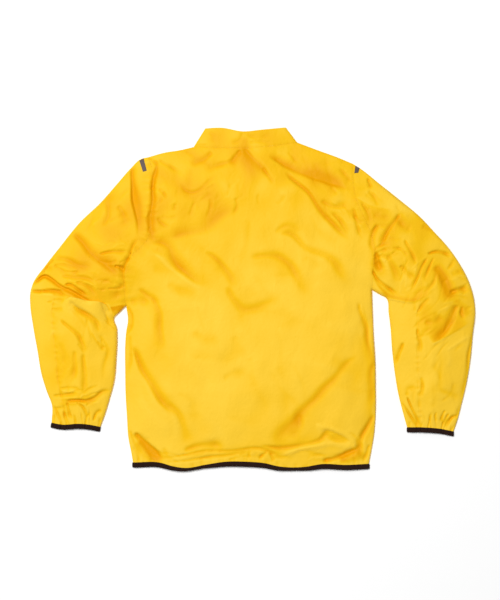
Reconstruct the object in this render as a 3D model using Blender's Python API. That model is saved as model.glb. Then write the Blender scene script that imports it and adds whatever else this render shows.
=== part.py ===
"""A light rain jacket laid flat with its back up: its cut pieces as closed walls of cloth.

Lengths are millimetres until a mesh is made. X runs to the right across the laid jacket, Y
towards the collar and Z up from the surface. Every panel is a grid of points: its place in
plan comes from the jacket's outlines, and its height from two height fields, one for the
upper layers and one for the layers that rest on the surface.
"""

import bpy
import numpy as np
from mathutils import Vector
from mathutils.bvhtree import BVHTree

MM = 0.001

# Walls and seams.
CLOTH = 1.2
COLLAR_CLOTH = 1.4
SEAM = 0.3
BINDING_THICK = 2.4

# A folded edge: its outermost line, the roll under it, and the roll over it.
EDGE_MIDDLE = 4.5
ROLL_UNDER = 5.0
ROLL_OVER = 60.0
BACK_WRAP = 7.5
WRAP_STEPS = (2.5, 5.0, BACK_WRAP)
UNDERARM_WRAP = 5.3
FRONT_INSET = BACK_WRAP + SEAM
LEAST_HEIGHT = 3.4

# Grid steps along a panel, and the closer lines next to a folded edge.
PANEL_STEP = 18.0
ARMHOLE_STEP = 25.0
NEAR_FOLD = (0.0, 2.0, 7.0, 16.0)
NEAR_SIDE = (*NEAR_FOLD, 30.0)
NEAR_UNDERARM = (0.0, 5.0, 14.0, 28.0)
NEAR_SHOULDER = (0.0, 2.5, 7.8, 16.0, 30.0)
SLEEVE_ROWS = 27
UNDERARM_ROW = 0.5
HEM_LONG = 512.0

# The zip on the centre front. Its slider is closed at the top of the collar.
ZIP_X_HEM, ZIP_X_TOP = -4.0, -15.0
ZIP_Y_HEM, ZIP_Y_TOP = -351.0, 291.0
FRONT_EDGE = 4.2
TAPE_INNER, TAPE_OUTER = 2.9, 15.0
TAPE_THICK = 0.8
TAPE_ABOVE = COLLAR_CLOTH + SEAM
COIL_HALF = 2.6
COIL_LOW, COIL_HIGH = 0.3, 2.6
SLIDER_Y = 276.0
SLIDER_HALF = 3.9
SLIDER_BACK, SLIDER_FRONT = -6.0, 7.0
PLATE = 1.1
TOP_PLATE_LOW = 2.9
NECK_HALF = 2.3
NECK_LONG = 3.0
BRIDGE_HALF = 0.8
BRIDGE_BACK, BRIDGE_FRONT = -4.0, 4.0
BRIDGE_BAR = 0.9
BRIDGE_DEEP = 4.1
PULL_AXIS_Y, PULL_AXIS_DEEP = -1.2, 2.2
PULL_THICK = 1.2
PULL_HALF, PULL_EYE_HALF = 3.0, 1.4
PULL_BAR, PULL_EYE, PULL_LONG = 0.6, 6.2, 22.0
PLATEAU = 4.5
PLATEAU_HALF = 18.0
PLATEAU_FALL = 60.0

# The outlines of the laid jacket, (x, y) in the order that each name gives.
OUTLINES = {
    "side_left": [  # hem to underarm
        (-258, -353), (-262, -330), (-268, -300), (-271, -256), (-274, -207),
        (-275, -153), (-275, -99), (-273, -71), (-269, -45), (-273, -14),
    ],
    "side_right": [
        (251, -356), (256, -330), (262, -295), (266, -243), (266, -185),
        (265, -127), (262, -84), (260, -40), (258, 20),
    ],
    "armhole_left": [  # underarm to shoulder
        (-273, -14), (-277, 18), (-276, 46), (-270, 74), (-258, 96), (-241, 112),
        (-227, 128), (-220, 154), (-218, 204), (-216, 247), (-217, 279), (-225, 307),
    ],
    "armhole_right": [
        (258, 20), (259, 52), (262, 85), (262, 115), (254, 145),
        (239, 178), (226, 208), (219, 236), (217, 268), (216, 293),
    ],
    "shoulder_left": [(-225, 307), (-189, 317), (-157, 322), (-127, 329)],
    "shoulder_right": [(96, 339), (141, 322), (185, 306), (216, 293)],
    "neck_back": [(-127, 329), (-81, 328), (-16, 327), (49, 332), (96, 339)],
    "collar_top": [(-102, 369), (-66, 370), (-21, 362), (21, 366), (72, 371)],
    "neck_front": [
        (-127, 329), (-103, 288), (-66, 262), (-14, 251), (36, 264), (72, 294), (96, 339),
    ],
    "collar_front_top": [
        (-102, 369), (-85, 331), (-57, 303), (-14, 291), (27, 303), (55, 331), (72, 371),
    ],
    "hem": [
        (-258, -353), (-200, -353), (-170, -361), (-144, -364), (-100, -357), (-57, -351),
        (-14, -351), (25, -354), (57, -361), (113, -362), (150, -356), (200, -358), (251, -356),
    ],
    "sleeve_left_outer": [  # shoulder to cuff
        (-225, 307), (-241, 303), (-262, 284), (-291, 251), (-329, 208), (-373, 166),
        (-416, 113), (-448, 72), (-474, 35), (-480, 14), (-480, -14), (-474, -58),
        (-464, -114), (-456, -161), (-444, -200), (-433, -230), (-434, -267),
    ],
    "sleeve_left_inner": [  # underarm to cuff
        (-273, -14), (-286, -27), (-299, -41), (-293, -62), (-292, -88),
        (-294, -127), (-298, -174), (-308, -213), (-320, -252), (-329, -276),
    ],
    "cuff_left": [(-434, -267), (-411, -271), (-373, -269), (-347, -272), (-329, -276)],
    "sleeve_right_outer": [
        (216, 293), (232, 283), (275, 249), (319, 214), (362, 178), (392, 146),
        (422, 113), (446, 79), (468, 37), (478, 3), (481, -27), (476, -75),
        (470, -135), (461, -187), (451, -228), (444, -256), (434, -286),
    ],
    "sleeve_right_inner": [
        (258, 20), (273, 11), (289, 2), (294, -30), (298, -62),
        (301, -105), (307, -157), (315, -205), (324, -241), (334, -277),
    ],
    "cuff_right": [(434, -286), (405, -280), (370, -277), (334, -277)],
    "collar_left": [(-127, 329), (-113, 352), (-102, 369)],
    "collar_right": [(96, 339), (85, 354), (72, 371)],
}

# The outlines along which the cloth is folded, so that it lies closed.
FOLDED = (
    "side_left", "side_right", "shoulder_left", "shoulder_right", "collar_left", "collar_right",
    "sleeve_left_outer", "sleeve_left_inner", "sleeve_right_outer", "sleeve_right_inner",
)

# How far the upper layer stands over its folded edge: (y, body, sleeve).
LOFT = [
    (-360, 6, 7), (-330, 8, 7), (-280, 12, 8), (-250, 14, 13), (-200, 17, 20), (-120, 18, 25),
    (0, 19, 27), (120, 18, 26), (220, 16, 21), (280, 13, 14), (330, 9, 9), (372, 7, 7),
]
BODY_HALF, SLEEVE_FROM = 235.0, 300.0

# The largest folds: (name, rise, reach on the left hand, reach on the right hand, path).
FOLDS = [
    ("neck_crease", -5, 7, 8, [(-25, 325), (-1, 305), (23, 288), (49, 251)]),
    ("neck_crease_left", -3, 9, 8, [(-25, 322), (-36, 303), (-53, 284)]),
    ("yoke_right", -5, 15, 15, [(38, 314), (70, 292), (113, 279), (157, 264), (202, 243)]),
    ("blade_right_ridge", 3, 12, 14, [(94, 262), (133, 232), (176, 193), (211, 150)]),
    ("blade_right", -6, 8, 8, [(77, 268), (129, 217), (176, 160), (202, 132), (224, 126)]),
    ("waist_right", -4, 12, 12, [(3, 94), (49, 91), (77, 74), (94, 50), (113, 24)]),
    ("side_right_soft", -4, 12, 12, [(116, 111), (150, 89), (183, 59), (211, 20)]),
    ("blade_left", -7, 11, 12, [(-217, 122), (-174, 91), (-154, 63), (-124, 42), (-92, 22)]),
    ("yoke_left_hook", -3, 9, 9, [(-152, 247), (-129, 230), (-105, 249), (-81, 262)]),
    ("drape_left", -3, 16, 16, [(-174, 143), (-124, 143), (-70, 158), (-23, 189)]),
    ("spine", -5, 9, 9, [(-92, 98), (-53, 48), (-42, 16), (-27, -12), (-1, -21), (66, 7)]),
    ("flank_left", -5, 9, 10, [(-243, 20), (-217, 5), (-204, -21), (-200, -62), (-198, -105)]),
    ("sweep_left", -8, 12, 11, [(-254, -99), (-219, -187), (-189, -226), (-161, -263), (-146, -306)]),
    ("hem_left_tuck", -7, 8, 9, [(-254, -291), (-234, -319), (-213, -336), (-189, -349)]),
    ("sweep_right", -8, 12, 13, [(219, -122), (178, -168), (113, -233), (81, -272), (38, -315)]),
    ("side_right_tuck", -6, 8, 8, [(267, -248), (247, -282), (234, -315), (226, -349)]),
    ("hem_right_roll", 4, 8, 8, [(159, -278), (195, -284), (219, -310), (228, -345)]),
    ("hem_band_left", -3, 10, 10, [(-150, -313), (-103, -317), (-53, -315)]),
    ("hem_band_right", -4, 10, 10, [(16, -313), (81, -317), (150, -310)]),
    ("sleeve_left_head", -7, 6, 6, [(-262, 288), (-258, 247), (-246, 160), (-244, 124)]),
    ("arm_left_sweep", -6, 9, 9, [(-386, 141), (-360, 109), (-329, 85), (-301, 65), (-275, 44)]),
    ("elbow_left_upper", -8, 8, 8, [(-472, 31), (-448, 50), (-420, 35), (-394, 24), (-362, 7)]),
    ("elbow_left_ledge", 7, 8, 26, [(-416, 9), (-394, 2), (-364, -4), (-334, -8), (-299, -11)]),
    ("forearm_left_tuck", -7, 8, 8, [(-399, -8), (-364, -27), (-336, -43), (-327, -71)]),
    ("forearm_left_soft", -4, 8, 8, [(-414, -40), (-373, -81), (-355, -116), (-355, -209)]),
    ("wrist_left", -5, 8, 8, [(-403, -218), (-364, -214), (-334, -205), (-306, -196)]),
    ("arm_right_drop", -4, 8, 16, [(228, 212), (258, 197), (308, 191), (364, 176)]),
    ("armpit_right", -8, 8, 8, [(314, 189), (297, 154), (282, 126), (265, 104)]),
    ("elbow_right_ledge", 7, 26, 8, [(284, 3), (319, 0), (360, 3), (383, 18), (399, 55)]),
    ("elbow_right_shade", -6, 10, 10, [(399, 68), (414, 37), (433, 7), (472, 20)]),
    ("elbow_right_fold", -7, 8, 8, [(433, -14), (420, -47), (403, -75), (383, -94)]),
    ("wrist_right", -4, 8, 8, [(323, -226), (338, -248), (353, -276)]),
]
FOLD_ENDS = 0.22
EDGE_CALM = 16.0

# Sections across a sleeve: (part of the outer edge, part of the inner edge) that one joins.
SLEEVE_SECTIONS = [(0.0, 0.0), (0.25, 0.06), (0.5, 0.15), (0.65, 0.38), (0.8, 0.66), (1.0, 1.0)]
ARMHOLE_REACH = 0.45

# The lengthwise sleeve seam: (part of the way down, part of the way from outer to inner edge).
SLEEVE_SEAM = {
    "left": [(0.0, 0.38), (0.45, 0.34), (0.6, 0.27), (1.0, 0.24)],
    "right": [(0.0, 0.38), (0.4, 0.5), (0.6, 0.69), (1.0, 0.72)],
}
SEAM_COLUMN = 7
UNDER_SEAM_COLUMN = 13

# Reflective tabs over the shoulder end of the sleeves: two corners at the fold, two below.
TABS = {
    "left": [(-244, 299), (-235, 304), (-228, 277), (-236, 275)],
    "right": [(222, 288), (231, 283), (228, 273), (219.5, 272)],
}
TAB_THICK = 0.8
TAB_CLEAR = 0.6

# (name, colour, roughness, metallic)
FINISHES = {
    "shell": ((1.0, 0.56, 0.01), 0.5, 0.0),
    "binding": ((0.03, 0.012, 0.008), 0.9, 0.0),
    "tape": ((0.9, 0.5, 0.02), 0.8, 0.0),
    "zip": ((0.75, 0.42, 0.02), 0.5, 0.0),
    "reflective": ((0.18, 0.15, 0.17), 0.4, 0.0),
}


# Curves in plan.

def smooth_curve(points, steps=8):
    """A dense smooth line through a short list of points."""
    p = np.array(points, float)
    t = np.concatenate([[0], np.cumsum(np.linalg.norm(np.diff(p, axis=0), axis=1))])
    slope = np.gradient(p, t, axis=0)
    line = []
    for a in range(len(p) - 1):
        span = t[a + 1] - t[a]
        s = np.linspace(0, 1, steps, endpoint=False)[:, None]
        line.append(
            (2 * s**3 - 3 * s**2 + 1) * p[a]
            + (s**3 - 2 * s**2 + s) * span * slope[a]
            + (3 * s**2 - 2 * s**3) * p[a + 1]
            + (s**3 - s**2) * span * slope[a + 1]
        )
    return np.concatenate([*line, p[-1:]])


def lengths(curve):
    return np.concatenate([[0], np.cumsum(np.linalg.norm(np.diff(curve, axis=0), axis=1))])


def along(curve, fractions):
    """Points at these fractions of a curve's length."""
    run = lengths(curve)
    at = np.asarray(fractions, float) * run[-1]
    return np.stack([np.interp(at, run, curve[:, k]) for k in (0, 1)], axis=-1)


def sub_curve(curve, start, end):
    """The stretch of a curve between two fractions of its length."""
    run = lengths(curve) / lengths(curve)[-1]
    inside = curve[(run > min(start, end)) & (run < max(start, end))]
    ends = along(curve, [start, end])
    if end < start:
        inside = inside[::-1]
    return np.concatenate([ends[:1], inside, ends[1:]])


def spaced(length, near_start, near_end, step):
    """Fractions of a length: close lines at both ends, even steps of about step between."""
    first, last = near_start[-1], length - near_end[-1]
    count = max(1, round((last - first) / step))
    middle = np.linspace(first, last, count + 1)
    ends = length - np.array(near_end[::-1], float)
    return np.concatenate([near_start[:-1], middle, ends[1:]]) / length


def ramp(t):
    t = np.clip(t, 0, 1)
    return t * t * (3 - 2 * t)


CURVES = {name: smooth_curve(points) for name, points in OUTLINES.items()}


# The two height fields.

def nearest(x, y, line):
    """Distance from each point to a line, how far along it, and which hand it lies on."""
    starts, ends = line[:-1], line[1:]
    run = lengths(line)
    best = np.full(x.shape, np.inf)
    part = np.zeros(x.shape)
    hand = np.zeros(x.shape)
    for a, b, before, after in zip(starts, ends, run[:-1], run[1:]):
        way = b - a
        t = np.clip(((x - a[0]) * way[0] + (y - a[1]) * way[1]) / (way @ way), 0, 1)
        dx, dy = x - a[0] - t * way[0], y - a[1] - t * way[1]
        away = np.hypot(dx, dy)
        closer = away < best
        best = np.where(closer, away, best)
        part = np.where(closer, (before + t * (after - before)) / run[-1], part)
        hand = np.where(closer, way[0] * dy - way[1] * dx, hand)
    return best, part, hand


def edge_distance(x, y):
    """Distance to the nearest folded edge."""
    found = np.full(x.shape, np.inf)
    for name in FOLDED:
        found = np.minimum(found, nearest(x, y, CURVES[name])[0])
    return found


def loft(x, y):
    heights = np.array(LOFT, float)
    body = np.interp(y, heights[:, 0], heights[:, 1])
    sleeve = np.interp(y, heights[:, 0], heights[:, 2])
    part = ramp((np.abs(x) - BODY_HALF) / (SLEEVE_FROM - BODY_HALF))
    return body + (sleeve - body) * part


def folds_height(x, y):
    total = np.zeros(x.shape)
    for _, rise, left, right, path in FOLDS:
        away, part, hand = nearest(x, y, smooth_curve(path, 4))
        across = np.exp(-((away / np.where(hand > 0, left, right)) ** 2))
        total += rise * across * ramp(part / FOLD_ENDS) * ramp((1 - part) / FOLD_ENDS)
    return total


def top_height(x, y):
    """Outer height of the upper layer."""
    away = edge_distance(x, y)
    rise = np.sqrt(1 - (1 - np.clip(away / ROLL_OVER, 0, 1)) ** 2)
    height = EDGE_MIDDLE + loft(x, y) * rise + folds_height(x, y) * ramp(away / EDGE_CALM)
    return np.maximum(height, LEAST_HEIGHT)


def zip_x(y):
    part = (y - ZIP_Y_HEM) / (ZIP_Y_TOP - ZIP_Y_HEM)
    return ZIP_X_HEM + part * (ZIP_X_TOP - ZIP_X_HEM)


def slider_rise(x, y):
    """The fronts stand on the slider and its pull, which lie between them and the surface."""
    beside = np.maximum(np.abs(x - zip_x(y)) - PLATEAU_HALF, 0)
    along_zip = np.maximum(SLIDER_Y - PULL_LONG - 8 - y, 0) + np.maximum(y - ZIP_Y_TOP, 0)
    return PLATEAU * ramp(1 - np.hypot(beside, along_zip) / PLATEAU_FALL)


def bottom_height(x, y):
    """Outer height of the layer that rests on the surface."""
    away = np.clip(edge_distance(x, y) / ROLL_UNDER, 0, 1)
    return EDGE_MIDDLE * (1 - np.sqrt(1 - (1 - away) ** 2)) + slider_rise(x, y)


# Walls of cloth from grids of points.

def material(name):
    colour, roughness, metallic = FINISHES[name]
    made = bpy.data.materials.new(name)
    made.use_nodes = True
    surface = made.node_tree.nodes["Principled BSDF"]
    surface.inputs["Base Color"].default_value = (*colour, 1)
    surface.inputs["Roughness"].default_value = roughness
    surface.inputs["Metallic"].default_value = metallic
    return made


def grid_faces(present, closed):
    """Quads of the present cells, as indices into a rows x columns grid."""
    rows, columns = present.shape
    wide = columns if closed else columns + 1
    i, j = np.nonzero(present)
    k = (j + 1) % wide
    return np.stack([i * wide + j, i * wide + k, (i + 1) * wide + k, (i + 1) * wide + j], axis=1)


def grid_normals(points, faces):
    flat = points.reshape(-1, 3)
    a, b, c, d = (flat[faces[:, k]] for k in range(4))
    face = np.cross(c - a, d - b)
    face /= np.maximum(np.linalg.norm(face, axis=1), 1e-9)[:, None]
    total = np.zeros_like(flat)
    for k in range(4):
        np.add.at(total, faces[:, k], face)
    return (total / np.maximum(np.linalg.norm(total, axis=1), 1e-9)[:, None]).reshape(points.shape)


def slope_normals(points):
    """Normals of the upper height field, the same on both sides of a seam."""
    x, y = points[..., 0], points[..., 1]
    reach = 2.5
    dx = (top_height(x + reach, y) - top_height(x - reach, y)) / (2 * reach)
    dy = (top_height(x, y + reach) - top_height(x, y - reach)) / (2 * reach)
    normal = np.stack([-dx, -dy, np.ones_like(dx)], axis=-1)
    return normal / np.linalg.norm(normal, axis=-1, keepdims=True)


def halves(points, faces):
    """Each quad as two triangles along its shorter diagonal, the same on both faces of a wall."""
    a, b, c, d = (points[faces[:, k]] for k in range(4))
    first = np.linalg.norm(a - c, axis=1) <= np.linalg.norm(b - d, axis=1)
    pick = np.where(first[:, None], faces, np.roll(faces, -1, axis=1))
    return np.concatenate([pick[:, [0, 1, 2]], pick[:, [0, 2, 3]]])


def wall(name, outer, finish, thick=CLOTH, present=None, closed=False, normals=None, parent=None):
    """One closed solid: a grid's outer face, its inner face and the rims that join them."""
    rows, columns = outer.shape[:2]
    if present is None:
        present = np.ones((rows - 1, columns if closed else columns - 1), bool)
    faces = grid_faces(present, closed)
    if normals is None:
        normals = grid_normals(outer, faces)
    inner = (outer - thick * normals).reshape(-1, 3)
    outer = outer.reshape(-1, 3)
    faces = halves(outer, faces)
    count = len(outer)
    edges = set()
    for face in faces:
        edges.update(zip(face, np.roll(face, -1)))
    rims = [(b, a, a + count, b + count) for a, b in edges if (b, a) not in edges]
    polygons = [tuple(f) for f in faces] + [tuple(f[::-1] + count) for f in faces] + sorted(rims)
    points = np.concatenate([outer, inner])
    used = np.unique(np.concatenate(polygons))
    place = np.full(len(points), -1)
    place[used] = np.arange(len(used))
    polygons = [[int(place[k]) for k in polygon] for polygon in polygons]
    return add_mesh(name, points[used], polygons, finish, parent)


def add_mesh(name, points, polygons, finish, parent=None, origin=(0, 0, 0)):
    mesh = bpy.data.meshes.new(name)
    mesh.from_pydata(((points - np.array(origin)) * MM).tolist(), [], polygons)
    mesh.materials.append(MATERIALS[finish])
    mesh.shade_smooth()
    made = bpy.data.objects.new(name, mesh)
    made.location = Vector(origin) * MM
    made.parent = parent
    bpy.context.scene.collection.objects.link(made)
    return made


def lift(plan, height):
    return np.concatenate([plan, height(plan[..., 0], plan[..., 1])[..., None]], axis=-1)


def bulge(curve, u):
    """How far a curve bows away from the straight line between its ends."""
    ends = along(curve, [0, 1])
    return along(curve, u) - ends[0] - u[..., None] * (ends[1] - ends[0])


def sleeve_plan(u, v, side):
    """Sections from the outer to the inner edge, bowed near the armhole and near the cuff."""
    inner_v = smooth_rate(v, SLEEVE_SECTIONS)
    outer = along(CURVES[f"sleeve_{side}_outer"], v)[:, None]
    inner = along(CURVES[f"sleeve_{side}_inner"], inner_v)[:, None]
    at_armhole = (np.clip(1 - v / ARMHOLE_REACH, 0, 1) ** 2)[:, None, None]
    at_cuff = (np.clip(1 - (1 - v) / ARMHOLE_REACH, 0, 1) ** 2)[:, None, None]
    section = outer + u[..., None] * (inner - outer)
    section = section + at_armhole * bulge(CURVES["armhole_" + side][::-1], u)
    return section + at_cuff * bulge(CURVES["cuff_" + side], u)


def smooth_rate(v, table):
    """A smooth rising function through a table of two columns."""
    return np.interp(v, *smooth_curve(table).T)


def inset_curve(curve, distance, side):
    """A curve moved sideways, to its left for side 1 and to its right for side -1."""
    way = np.gradient(curve, axis=0)
    way /= np.linalg.norm(way, axis=1, keepdims=True)
    return curve + side * np.asarray(distance)[..., None] * np.stack([-way[:, 1], way[:, 0]], -1)


# The lines that neighbouring pieces share.

def top_edge():
    """Shoulder, back neck and shoulder as one curve, and where its two neck points lie."""
    parts = [CURVES[n] for n in ("shoulder_left", "neck_back", "shoulder_right")]
    runs = np.cumsum([lengths(p)[-1] for p in parts])
    return np.concatenate([parts[0], parts[1][1:], parts[2][1:]]), runs[:2] / runs[2]


TOP_EDGE, (NECK_LEFT, NECK_RIGHT) = top_edge()


def back_columns():
    left, right = NECK_LEFT * HEM_LONG, NECK_RIGHT * HEM_LONG
    outer = spaced(left, NEAR_SIDE, (0.0,), PANEL_STEP) * left
    neck = spaced(right - left, (0.0, 6.0), (0.0, 6.0), PANEL_STEP) * (right - left) + left
    last = spaced(HEM_LONG - right, (0.0,), NEAR_SIDE, PANEL_STEP) * (HEM_LONG - right) + right
    columns = np.concatenate([outer, neck[1:], last[1:]]) / HEM_LONG
    return columns, len(outer) - 1, len(outer) + len(neck) - 2


BACK_U, NECK_A, NECK_B = back_columns()
SIDE_V = spaced(lengths(CURVES["side_left"])[-1], (0.0,), (0.0,), PANEL_STEP)
ARMHOLE_V = spaced(lengths(CURVES["armhole_left"])[-1], NEAR_UNDERARM, NEAR_SHOULDER, ARMHOLE_STEP)


def side_and_armhole(side):
    """Points of a panel's outer boundary from hem to shoulder."""
    low = along(CURVES["side_" + side], SIDE_V)
    return np.concatenate([low, along(CURVES["armhole_" + side], ARMHOLE_V)[1:]])


def wrap_width(row_count):
    """Width of the back's turned-under strip along a side: it narrows at the underarm."""
    width = np.full(row_count, BACK_WRAP)
    width[-1] = UNDERARM_WRAP
    return width


def side_inset(side, extra=0.0):
    """The side's points moved in to where the back panel ends underneath."""
    points = along(CURVES["side_" + side], SIDE_V)
    hand = -1 if side == "left" else 1
    inner = inset_curve(points, wrap_width(len(points)) + extra, hand)
    hem = CURVES["hem"]
    reach = (BACK_WRAP + extra) / lengths(hem)[-1]
    inner[0] = along(hem, [reach if side == "left" else 1 - reach])[0]
    return inner


def shoulder_inset(side, extra=0.0):
    """The shoulder's fold line and the line under it where the back panel ends."""
    shoulder = CURVES["shoulder_" + side]
    inner = inset_curve(shoulder, np.full(len(shoulder), BACK_WRAP + extra), -1)
    armhole, neck = CURVES["armhole_" + side], CURVES["neck_front"]
    at_armhole = along(armhole, [1 - (BACK_WRAP + extra) / lengths(armhole)[-1]])[0]
    reach = (BACK_WRAP + extra) / lengths(neck)[-1]
    at_neck = along(neck, [reach if side == "left" else 1 - reach])[0]
    ends = (at_armhole, at_neck) if side == "left" else (at_neck, at_armhole)
    run = lengths(inner) / lengths(inner)[-1]
    shift = (1 - run)[:, None] * (ends[0] - inner[0]) + run[:, None] * (ends[1] - inner[-1])
    return inner + shift


# The pieces.

def boundary_patch(u, rows_left, rows_right, v, low, high):
    """A plan patch whose left and right boundaries are lists of points, one for each row."""
    a, b = u[None, :, None], v[:, None, None]
    across = (1 - b) * low[None] + b * high[None]
    upward = (1 - a) * rows_left[:, None] + a * rows_right[:, None]
    corners = (1 - a) * ((1 - b) * low[0] + b * high[0]) + a * ((1 - b) * low[-1] + b * high[-1])
    return across + upward - corners


def row_parts():
    low = SIDE_V * UNDERARM_ROW
    return np.concatenate([low, UNDERARM_ROW + (1 - UNDERARM_ROW) * ARMHOLE_V[1:]])


def back_plan():
    low, high = along(CURVES["hem"], BACK_U), along(TOP_EDGE, BACK_U)
    return boundary_patch(
        BACK_U, side_and_armhole("left"), side_and_armhole("right"), row_parts(), low, high
    )


def make_back(parent):
    plan = back_plan()
    rows, columns = plan.shape[:2]
    turns = len(WRAP_STEPS)
    side_rows = len(SIDE_V)
    grid = np.zeros((rows + turns, columns + 2 * turns, 3))
    grid[:rows, turns : turns + columns] = lift(plan, top_height)
    insets = {side: side_inset(side) for side in ("left", "right")}
    shoulders = {side: shoulder_inset(side) for side in ("left", "right")}
    for k, width in enumerate(WRAP_STEPS):
        part = width / BACK_WRAP
        for side, edge, column in (("left", 0, turns - 1 - k), ("right", -1, turns + columns + k)):
            fold = plan[:side_rows, edge]
            strip = fold + part * (insets[side] - fold)
            grid[:side_rows, column] = lift(strip, bottom_height)
        for side, first, last in (("left", 0, NECK_A), ("right", NECK_B, columns - 1)):
            fold = plan[-1, first : last + 1]
            run = BACK_U[first : last + 1] - BACK_U[first]
            under = along(shoulders[side], run / run[-1])
            strip = fold + part * (under - fold)
            grid[rows + k, turns + first : turns + last + 1] = lift(strip, bottom_height)
    present = np.zeros((rows + turns - 1, columns + 2 * turns - 1), bool)
    present[: rows - 1, turns : turns + columns - 1] = True
    present[: side_rows - 1, :turns] = True
    present[: side_rows - 1, turns + columns - 1 :] = True
    present[rows - 1 :, turns : turns + NECK_A] = True
    present[rows - 1 :, turns + NECK_B : turns + columns - 1] = True
    normals = grid_normals(grid, grid_faces(present, False))
    for column in (turns, turns + columns - 1):
        seam = slice(side_rows + 1, rows - 2)
        normals[seam, column] = slope_normals(grid[seam, column])
    neck = slice(turns + NECK_A + 2, turns + NECK_B - 1)
    normals[rows - 1, neck] = slope_normals(grid[rows - 1, neck])
    return wall("back", grid, "shell", present=present, normals=normals, parent=parent)


def neck_front_half(name, side):
    """Half of a curve round the front of the neck, from the neck point to the front edge."""
    curve = CURVES[name]
    fraction = lengths(curve) / lengths(curve)[-1]
    hand = -1 if side == "left" else 1
    beyond = (curve[:, 0] - zip_x(curve[:, 1]) - hand * FRONT_EDGE) * hand
    order = np.argsort(beyond)
    split = float(np.interp(0, beyond[order], fraction[order]))
    return sub_curve(curve, 0 if side == "left" else 1, split)


def front_neck_parts(side):
    """Fractions of the half neckline for a front's columns, from the neck point to the zip."""
    length = lengths(neck_front_half("neck_front", side))[-1]
    return spaced(length, (FRONT_INSET,), (0.0, 14.0, 30.0), 18.0)


def make_front(side, parent):
    hand = -1 if side == "left" else 1
    neck = neck_front_half("neck_front", side)
    shoulder = shoulder_inset(side, SEAM)
    if side == "right":
        shoulder = shoulder[::-1]
    shoulder_u = np.linspace(0, 1, 6)
    top = np.concatenate([along(shoulder, shoulder_u), along(neck, front_neck_parts(side))[1:]])
    top_run = lengths(top)
    u = top_run / top_run[-1]
    hem_curve = CURVES["hem"]
    hem_run = lengths(hem_curve) / lengths(hem_curve)[-1]
    centre = np.interp(ZIP_X_HEM + hand * FRONT_EDGE, hem_curve[:, 0], hem_run)
    reach = FRONT_INSET / lengths(hem_curve)[-1]
    start = reach if side == "left" else 1 - reach
    hem = along(hem_curve, start + u * (centre - start))
    inner = side_inset(side, SEAM)
    armhole = along(CURVES["armhole_" + side], ARMHOLE_V)
    outer = np.concatenate([inner, armhole[1:-3], top[:1]])
    v = np.concatenate([row_parts()[: len(outer) - 1], [1.0]])
    edge = hem[-1] + v[:, None] * (top[-1] - hem[-1])
    plan = boundary_patch(u, outer, edge, v, hem, top)
    grid = lift(plan, bottom_height)
    if side == "left":
        grid = grid[:, ::-1]
    wall("front_" + side, grid, "shell", parent=parent)
    return hem


def sleeve_columns(v, width):
    """Fractions from outer to inner edge for each row, the armhole's own on the first row."""
    at_armhole = 1 - ARMHOLE_V[::-1]
    cells = len(at_armhole) - 1
    inner = cells - 2 * (len(NEAR_FOLD) - 1)
    near = np.array(NEAR_FOLD)[None] / width[:, None]
    start, end = near[:, -1:], 1 - near[:, -1:]
    middle = start + (end - start) * np.linspace(0, 1, inner + 1)[None]
    plain = np.concatenate([near[:, :-1], middle, 1 - near[:, -2::-1]], axis=1)
    part = ramp(v / 0.14)[:, None]
    return at_armhole + part * (plain - at_armhole)


def seam_columns(columns, v, side):
    """The columns moved along the sleeve so that one of them follows the lengthwise seam."""
    seam = np.interp(v, *np.array(SLEEVE_SEAM[side]).T)[:, None]
    seam = columns[:, [SEAM_COLUMN]] + ramp(v / 0.2)[:, None] * (seam - columns[:, [SEAM_COLUMN]])
    first = len(NEAR_FOLD) - 1
    last = columns.shape[1] - len(NEAR_FOLD)
    moved = columns.copy()
    low, high = columns[:, [first]], columns[:, [last]]
    at = columns[:, [SEAM_COLUMN]]
    before = slice(first, SEAM_COLUMN + 1)
    after = slice(SEAM_COLUMN, last + 1)
    moved[:, before] = low + (columns[:, before] - low) * (seam - low) / (at - low)
    moved[:, after] = high - (high - columns[:, after]) * (high - seam) / (high - at)
    return moved


def sleeve_grid(side):
    """Closed rings of a sleeve from armhole to cuff: over the top, then back underneath."""
    v = np.linspace(0, 1, SLEEVE_ROWS + 1)
    ends = sleeve_plan(np.tile([0.0, 1.0], (len(v), 1)), v, side)
    width = np.linalg.norm(ends[:, 1] - ends[:, 0], axis=1)
    u = seam_columns(sleeve_columns(v, width), v, side)
    plan = sleeve_plan(u, v, side)
    plan[0] = step_from_armhole(plan[0], side)
    top = lift(plan, top_height)
    under = lift(plan, bottom_height)[:, -2:0:-1]
    return np.concatenate([top, under], axis=1)


def step_from_armhole(points, side):
    """The sleeve's first ring stands one seam gap off the armhole, a little more at its folds."""
    gap = np.full(len(points), SEAM)
    gap[:2] = gap[-2:] = 2 * SEAM
    return inset_curve(points, gap, -1 if side == "left" else 1)


def shift_columns(grid, column, neighbour, distance):
    """One column of a grid moved a little towards its neighbour column."""
    way = grid[:, neighbour] - grid[:, column]
    way /= np.linalg.norm(way, axis=1, keepdims=True)
    moved = grid.copy()
    moved[:, column] += distance * way
    return moved


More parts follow.
